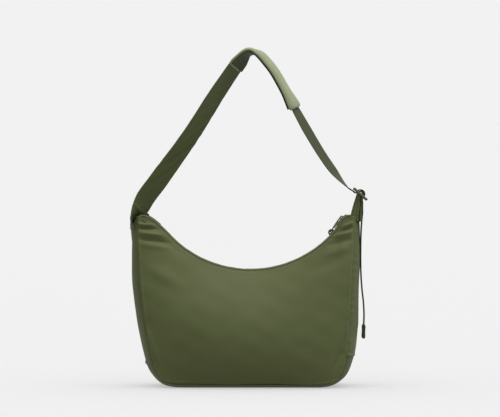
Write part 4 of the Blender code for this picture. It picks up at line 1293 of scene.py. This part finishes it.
class HOBO_OT_slider(bpy.types.Operator):
    """Adds the zip's slider and its cord pull"""

    bl_idname = "hobo.slider"
    bl_label = "Slider and pull"

    def execute(self, context):
        top_low, thick = 0.0027, 0.0013
        size = (0.0110, 0.0086, thick)
        plate = flat_block("slider_top", size, (0, 0, top_low + thick / 2), "slider", 0.0005)
        narrow_end(plate, 0.0035, 0.72)
        lower = flat_block("slider_low", size, (0, 0, -0.0011 - thick / 2), "slider", 0.0005)
        narrow_end(lower, 0.0035, 0.72)
        web = flat_block("slider_web", (0.0060, 0.0010, 0.0040), (0.0018, 0, 0.0008), "slider", 0.0002)
        flanges = []
        for side in (-1.0, 1.0):
            place = (-0.0006, side * 0.0040, top_low - 0.0003)
            name = f"slider_flange_{side:.0f}"
            flanges.append(flat_block(name, (0.0085, 0.0006, 0.0012), place, "slider", 0.0002))
        body = join_smooth([plate, lower, web] + flanges, "zip_slider_body")
        move_to_slope(body, on_zip(SLIDER_ANGLE), ZIP_ALONG, ZIP_UP)
        angles = np.linspace(0.0, math.pi, 25)
        rise = 0.0037 + 0.0036 * np.sin(angles) ** 0.6
        crown = np.column_stack([0.0036 * np.cos(angles), np.zeros(25), rise])
        place = on_zip(SLIDER_ANGLE)
        points = np.column_stack([
            place[0] + crown[:, 0] * ZIP_ALONG[0] + crown[:, 2] * ZIP_UP[0],
            crown[:, 1],
            place[1] + crown[:, 0] * ZIP_ALONG[1] + crown[:, 2] * ZIP_UP[1],
        ])
        bridge = tube_object("zip_slider_bridge", points, 0.0013, "slider", 12)
        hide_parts("zip_slider")
        for piece in (body, bridge):
            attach(piece, "slider")
        self.pull()
        return {"FINISHED"}

    def pull(self):
        heading = SLIDER_ANGLE + math.radians(5.0)
        along = np.array([math.cos(heading), math.sin(heading)])
        up = np.array([-along[1], along[0]])
        steps = np.linspace(0.0, 2 * math.pi, 48, endpoint=False)
        reach, half = 0.0049, 0.0024
        oval = [0.0042 + reach * math.copysign(abs(math.cos(t)) ** 0.55, math.cos(t)) for t in steps]
        wide = [half * math.copysign(abs(math.sin(t)) ** 0.55, math.sin(t)) for t in steps]
        link_points = np.column_stack([
            PULL_PIVOT[0] + np.array(oval) * along[0], wide, PULL_PIVOT[1] + np.array(oval) * along[1]
        ])
        link = tube_object("zip_pull_ring", link_points, 0.0009, "slider", 10, closed=True)
        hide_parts("zip_pull_link")
        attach(link, "pull")
        cords = []
        for name, side in (("near", -1.0), ("far", 1.0)):
            run = np.linspace(0.0, 1.0, 30)
            forward = 0.0074 + 0.0190 * run
            lift = side * (0.0003 + 0.0011 * np.sin(run * math.pi * 0.5))
            points = np.column_stack([
                PULL_PIVOT[0] + forward * along[0] + lift * up[0], 0.0 * run,
                PULL_PIVOT[1] + forward * along[1] + lift * up[1],
            ])
            cords.append(tube_object(f"zip_pull_cord_{name}", points, 0.00115, "cord", 12))
        steps = np.linspace(0.0, 2 * math.pi, 40, endpoint=False)
        reach_out, reach_up = 0.0276 + 0.0022 * np.cos(steps), 0.0014 * np.sin(steps)
        eye = np.column_stack([
            PULL_PIVOT[0] + reach_out * along[0] + reach_up * up[0], 0.0 * steps,
            PULL_PIVOT[1] + reach_out * along[1] + reach_up * up[1],
        ])
        tip = tube_object("zip_pull_eye", eye, 0.0011, "cord", 12, closed=True)
        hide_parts("zip_pull_tab")
        for piece in cords + [tip]:
            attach(piece, "pull")


# ---------------------------------------------------------------- strap and pad


class HOBO_OT_strap(bpy.types.Operator):
    """Adds the folded cloth strap from the gusset to the pad"""

    bl_idname = "hobo.strap"
    bl_label = "Cloth strap"

    def execute(self, context):
        strap = settings()[1]
        line, turns = route_line(STRAP_FOOT)
        end = self.share_at_pad(line)
        run, run_turns = resample(line, turns, 0.0, end, 330)
        half, thick = strap.width / 2, strap.thickness
        foot_half = float(gusset_half_depth(run[0][1])) - 0.0018

        def profile(distance, share):
            grow = min(1.0, distance / 0.045)
            width = foot_half + (half - foot_half) * grow
            loop = flat_loop(width, thick, 29)
            side = loop[:, 0] / width
            bulge = settings()[0].side_bulge * max(0.0, 1.0 - distance / 0.034)
            arch = bulge * (1 - side**2)
            sag = 0.0012 * math.sin(share * 5.0 + 0.6) * side
            creases = 0.0
            for where, slope, height, size in STRAP_CREASES:
                away = distance - where - slope * loop[:, 0]
                creases = creases + 0.8 * height * np.exp(-((away / size) ** 2)) * (1 - 0.85 * side**4)
            rim = 0.00070 * np.exp(-(((1 - abs(side)) * width - 0.0022) / 0.0006) ** 2)
            rim = rim * -np.sign(loop[:, 1])
            loop[:, 1] += arch - bulge + sag + creases + rim
            return loop

        cloth = ring_band("strap_cloth", run, run_turns, profile, "strap")
        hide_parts("strap_fabric", "strap_root")
        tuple(STRAP_BEND[0])
        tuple(STRAP_BEND[1])
        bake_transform(cloth)
        self.edge_stitches(run, run_turns, profile, half)
        self.foot_stitches(run, run_turns, foot_half)
        return {"FINISHED"}

    def share_at_pad(self, line):
        """Where the cloth strap ends inside the pad."""
        strap = settings()[1]
        full, _ = route_line([ROUTE_FOOT])
        place = at_shares(full, strap.pad_start + 0.05)
        nearest = int(np.argmin(np.linalg.norm(line - place, axis=1)))
        return lengths_along(line)[nearest] / lengths_along(line)[-1]

    def foot_stitches(self, run, run_turns, foot_half):
        """Two rows that sew the strap's foot to the gusset."""
        place, across, outer = band_frames(run, run_turns)
        for number, k in enumerate((3, 8)):
            side = np.linspace(-0.9, 0.9, 15)
            arch = settings()[0].side_bulge * (side**2)
            points = [
                place[k] + across[k] * foot_half * part - outer[k] * (sink - 0.0013)
                for part, sink in zip(side, arch)
            ]
            stitch_row(f"strap_foot_stitch_{number}", np.array(points), np.tile(outer[k], (15, 1)), "bag")

    def edge_stitches(self, run, run_turns, profile, half):
        place, across, outer = band_frames(run, run_turns)
        along = lengths_along(run)
        for edge, side in (("near", -1.0), ("far", 1.0)):
            for face, low in (("outer", False), ("inner", True)):
                points = []
                for k in range(4, len(run) - 2):
                    loop = profile(along[k], along[k] / along[-1])
                    count = len(loop) // 2
                    rows = loop[count:] if low else loop[:count]
                    wanted = side * (abs(rows[:, 0]).max() - 0.0022)
                    order = np.argsort(rows[:, 0])
                    height = np.interp(wanted, rows[order, 0], rows[order, 1])
                    points.append(place[k] + across[k] * wanted + outer[k] * height)
                normals = outer[4:-2] * (-1.0 if low else 1.0)
                row = stitch_row(f"strap_stitch_{edge}_{face}", np.array(points), normals, None)
                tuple(STRAP_BEND[0])
                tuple(STRAP_BEND[1])
                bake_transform(row)


# Creases across the strap: distance from the cross seam, slope across it, height, width.
STRAP_CREASES = [
    (0.022, 0.3, 0.0012, 0.0035),
    (0.034, -0.2, -0.0014, 0.0040),
    (0.070, 3.2, 0.0012, 0.0080),
    (0.108, 2.6, 0.0016, 0.0060),
    (0.124, 2.2, -0.0020, 0.0055),
    (0.141, 1.9, 0.0024, 0.0040),
    (0.150, 1.8, -0.0018, 0.0040),
    (0.168, 2.4, 0.0015, 0.0050),
    (0.186, 2.0, -0.0012, 0.0060),
    (0.206, 2.2, 0.0012, 0.0055),
    (0.232, 1.4, -0.0009, 0.0060),
    (0.256, 1.2, 0.0008, 0.0050),
]


class HOBO_OT_pad(bpy.types.Operator):
    """Adds the stuffed shoulder pad, its flat underside and its stitched rim"""

    bl_idname = "hobo.pad"
    bl_label = "Shoulder pad"

    def execute(self, context):
        strap = settings()[1]
        line, turns = route_line([ROUTE_FOOT])
        run, run_turns = resample(line, turns, strap.pad_start, strap.pad_end, 150)
        half = strap.pad_width / 2
        under = -strap.thickness / 2 - 0.0014
        points = 25

        def profile(distance, share):
            ends = min(1.0, share / 0.055, (1 - share) / 0.055)
            rounded = math.sqrt(max(0.0, 1.0 - (1.0 - ends) ** 2))
            width = half * (0.80 + 0.20 * rounded)
            side = np.sin(np.linspace(-math.pi / 2, math.pi / 2, points))
            crown = 0.0050 * (1 - abs(side) ** 3.2) ** 0.6 * (0.45 + 0.55 * rounded)
            seam = 0.0009 * np.exp(-(((1 - abs(side)) * width - 0.0030) / 0.0009) ** 2)
            top = np.stack([side * width, 0.0008 + crown - seam], axis=1)
            low_side = side[::-1]
            dip = under * (1 - abs(low_side) ** 6) ** 0.5 + 0.0004 * abs(low_side)
            low = np.stack([low_side * width, dip], axis=1)
            return np.concatenate([top, low[1:-1]])

        cover = ring_band("shoulder_pad_cloth", run, run_turns, profile, "pad")
        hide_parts("pad_cover", "pad_foam")
        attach(cover, "strap")
        place, across, outer = band_frames(run, run_turns)
        inner = slice(3, -3)
        sheet = np.stack([
            place[inner] + across[inner] * offset * half + outer[inner] * (under - 0.0001 * (1 - offset**2))
            for offset in np.linspace(-0.95, 0.95, 17)
        ], axis=1)
        # Its darkened finish is painted shade under the pad.
        underside = grid_object("pad_underside_cloth", sheet[:, ::-1], "underside", 0.0010, 1.0)
        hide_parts("pad_underside")
        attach(underside, "strap")
        for edge, side in (("near", -1.0), ("far", 1.0)):
            points_on = place[inner] + across[inner] * side * (half - 0.0030) + outer[inner] * 0.0028
            stitch_row(f"pad_stitch_{edge}", points_on, outer[inner], "strap")
        return {"FINISHED"}


# ---------------------------------------------------------------- webbing, adjuster and tab


GLIDE_ALONG = np.array([math.cos(GLIDE_SLOPE), -math.sin(GLIDE_SLOPE)])
GLIDE_UP = np.array([math.sin(GLIDE_SLOPE), math.cos(GLIDE_SLOPE)])
BAR_CLEAR = math.hypot(GLIDE_BAR, GLIDE_THICK) / 2 + 0.0004
TAB_THICK = 0.0024


class HOBO_OT_webbing(bpy.types.Operator):
    """Adds the ribbed webbing from the pad through the adjuster"""

    bl_idname = "hobo.webbing"
    bl_label = "Webbing"

    def execute(self, context):
        strap = settings()[1]
        line, turns = route_line([ROUTE_FOOT])
        run, run_turns = resample(line, turns, strap.pad_end - 0.05, 1.0, 260)
        radius = BAR_CLEAR + TAB_THICK + 0.0004 + strap.webbing_thick / 2
        near_bar = GLIDE_CENTRE - GLIDE_ALONG * (GLIDE_LENGTH - GLIDE_BAR) / 2
        knots = [run[-1], near_bar - GLIDE_UP * 0.0042 - GLIDE_ALONG * 0.001]
        for degrees in range(205, -30, -20):
            angle = math.radians(degrees)
            arm = GLIDE_ALONG * math.cos(angle) + GLIDE_UP * math.sin(angle)
            knots.append(GLIDE_CENTRE + radius * arm)
        knots.append(np.array([TAIL_X, FOLD_HEIGHT - 0.001]))
        knots.append(np.array([TAIL_X, TIE_HIGH[2] - 0.0012]))
        threaded = smooth_curve(knots, 150)[1:]
        whole = np.concatenate([run, threaded])
        all_turns = np.concatenate([run_turns, np.zeros(len(threaded))])

        def profile(distance, share):
            return flat_loop(strap.webbing / 2, strap.webbing_thick, 33, 11, WEBBING_RIB)

        cloth = ring_band("webbing_cloth", whole, all_turns, profile, "webbing")
        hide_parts("webbing")
        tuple(WEBBING_BEND[0])
        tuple(WEBBING_BEND[1])
        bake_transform(cloth)
        return {"FINISHED"}


class HOBO_OT_adjuster(bpy.types.Operator):
    """Adds the moulded slide with its three round bars"""

    bl_idname = "hobo.adjuster"
    bl_label = "Adjuster"

    def execute(self, context):
        strap = settings()[1]
        inside = strap.webbing / 2 + 0.0006
        bars = []
        reach = (GLIDE_LENGTH - GLIDE_BAR) / 2
        for name, forward in (("near", -reach), ("middle", 0.0), ("far", reach)):
            size = (GLIDE_BAR, 2 * inside + 0.002, GLIDE_THICK)
            bars.append(flat_block(f"{name}_bar", size, (forward, 0, 0), "plastic", 0.0014, 5))
        for name, side in (("near", -1.0), ("far", 1.0)):
            size = (GLIDE_LENGTH, 0.0024, GLIDE_THICK)
            place = (0, side * (inside + 0.0010), 0)
            bars.append(flat_block(f"{name}_rail", size, place, "plastic", 0.0009, 4))
        slide = join_smooth(bars, "adjuster_slide")
        remesh = slide.modifiers.new("Moulding", "REMESH")
        remesh.mode = "VOXEL"
        remesh.voxel_size = 0.00034
        soften = slide.modifiers.new("Fillets", "SMOOTH")
        soften.factor = 0.5
        soften.iterations = 5
        apply_modifiers(slide)
        slide.data.shade_smooth()
        move_to_slope(slide, GLIDE_CENTRE, GLIDE_ALONG, GLIDE_UP)
        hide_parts("tri_glide")
        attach(slide, "glide")
        return {"FINISHED"}


class HOBO_OT_tab(bpy.types.Operator):
    """Adds the gathered tab that joins the right gusset to the adjuster"""

    bl_idname = "hobo.tab"
    bl_label = "Anchor tab"

    def execute(self, context):
        radius = BAR_CLEAR + TAB_THICK / 2
        foot = FOLD_HEIGHT - 0.030
        knots = [
            np.array([0.1655, foot]), np.array([0.1685, foot + 0.012]), np.array([0.1722, foot + 0.024]),
            np.array([0.1742, FOLD_HEIGHT + 0.004]),
        ]
        for degrees in range(205, -30, -20):
            angle = math.radians(degrees)
            knots.append(GLIDE_CENTRE + radius * np.array([math.cos(angle), math.sin(angle)]))
        knots += [
            np.array([0.1808, FOLD_HEIGHT + 0.003]), np.array([0.1800, foot + 0.024]),
            np.array([0.1792, foot + 0.012]), np.array([0.1790, foot]),
        ]
        line = smooth_curve(knots, 220)

        def profile(distance, share):
            from_end = min(share, 1 - share)
            half = 0.0165 - 0.0055 * min(1.0, from_end / 0.30)
            loop = flat_loop(half, TAB_THICK, 25)
            side = loop[:, 0] / half
            pleat = 0.0006 * np.cos(side * math.pi * 2.5) * (1 - min(1.0, from_end / 0.34))
            loop[:, 1] += pleat
            return loop

        tab = ring_band("anchor_tab_cloth", line, np.zeros(len(line)), profile, "gusset")
        gather = self.gather()
        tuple(TAB_BEND[0])
        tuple(TAB_BEND[1])
        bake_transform(gather)
        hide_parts("anchor_tab", "tab_root")
        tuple(TAB_BEND[0])
        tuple(TAB_BEND[1])
        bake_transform(tab)
        return {"FINISHED"}


    def gather(self):
        """The pleated cloth that closes the tab's sides between the horn and the slide."""
        heights = np.linspace(FOLD_HEIGHT - 0.029, FOLD_HEIGHT + 0.0125, 70)
        around = np.linspace(0.0, 2 * math.pi, 96, endpoint=False)
        grid = np.zeros((len(heights), len(around), 3))
        for row, z in enumerate(heights):
            share = (z - heights[0]) / (heights[-1] - heights[0])
            middle = 0.1700 + 0.0078 * share
            half_x = 0.0090 - 0.0046 * share**0.8
            half_y = 0.0165 - 0.0060 * min(1.0, share / 0.8)
            c, s = np.cos(around), np.sin(around)
            round_x = np.sign(c) * np.abs(c) ** 0.7
            round_y = np.sign(s) * np.abs(s) ** 0.9
            pleats = 1.0 + 0.10 * np.sin(around * 9 + 2.5 * share) + 0.05 * np.sin(around * 17 - 3 * share)
            grid[row, :, 0] = middle + half_x * round_x * pleats
            grid[row, :, 1] = half_y * round_y * pleats
            grid[row, :, 2] = z
        closed = np.concatenate([grid, grid[:, :1]], axis=1)
        obj = grid_object("anchor_tab_gather", closed, "gusset")
        bm = bmesh.new()
        bm.from_mesh(obj.data)
        bmesh.ops.remove_doubles(bm, verts=bm.verts, dist=1e-6)
        bmesh.ops.holes_fill(bm, edges=[edge for edge in bm.edges if edge.is_boundary])
        bmesh.ops.recalc_face_normals(bm, faces=bm.faces)
        bm.to_mesh(obj.data)
        bm.free()
        return obj


class HOBO_OT_inside(bpy.types.Operator):
    """Gives the lining and the base board their finish"""

    bl_idname = "hobo.inside"
    bl_label = "Lining and board"

    def execute(self, context):
        finishes = {
            "lining_front": "lining", "lining_back": "lining", "lining_gusset": "lining",
            "base_board": "board",
        }
        for node, finish in finishes.items():
            obj = frame["nodes"][node]
            for slot in obj.material_slots:
                slot.material = finish_of(finish)
        return {"FINISHED"}


class HOBO_PT_panel(bpy.types.Panel):
    """Lists the operators that build the bag"""

    bl_idname = "HOBO_PT_panel"
    bl_label = "Hobo Bag"
    bl_space_type = "VIEW_3D"
    bl_region_type = "UI"
    bl_category = "Hobo Bag"

    def draw(self, context):
        for group in (context.scene.bag_sizes, context.scene.strap_sizes, context.scene.bag_colours):
            box = self.layout.box()
            for name in group.__annotations__:
                box.prop(group, name)
        for operator in OPERATORS:
            self.layout.operator(operator.bl_idname)


OPERATORS = (
    HOBO_OT_stage, HOBO_OT_tail, HOBO_OT_panels, HOBO_OT_gussets, HOBO_OT_zip, HOBO_OT_slider,
    HOBO_OT_strap, HOBO_OT_pad, HOBO_OT_webbing, HOBO_OT_adjuster, HOBO_OT_tab, HOBO_OT_inside,
)
GROUPS = {"bag_sizes": BagSizes, "strap_sizes": StrapSizes, "bag_colours": BagColours}


def register():
    for group in GROUPS.values():
        bpy.utils.register_class(group)
    for name, group in GROUPS.items():
        setattr(bpy.types.Scene, name, PointerProperty(type=group))
    for operator in OPERATORS:
        bpy.utils.register_class(operator)
    bpy.utils.register_class(HOBO_PT_panel)


def unregister():
    bpy.utils.unregister_class(HOBO_PT_panel)
    for operator in reversed(OPERATORS):
        bpy.utils.unregister_class(operator)
    for name, group in GROUPS.items():
        delattr(bpy.types.Scene, name)
        bpy.utils.unregister_class(group)


def main():
    register()
    bpy.ops.hobo.stage()
    bpy.ops.hobo.tail()
    bpy.ops.hobo.panels()
    bpy.ops.hobo.gussets()
    bpy.ops.hobo.zip()
    bpy.ops.hobo.slider()
    bpy.ops.hobo.strap()
    bpy.ops.hobo.pad()
    bpy.ops.hobo.webbing()
    bpy.ops.hobo.adjuster()
    bpy.ops.hobo.tab()
    bpy.ops.hobo.inside()


if __name__ == "__main__":
    main()
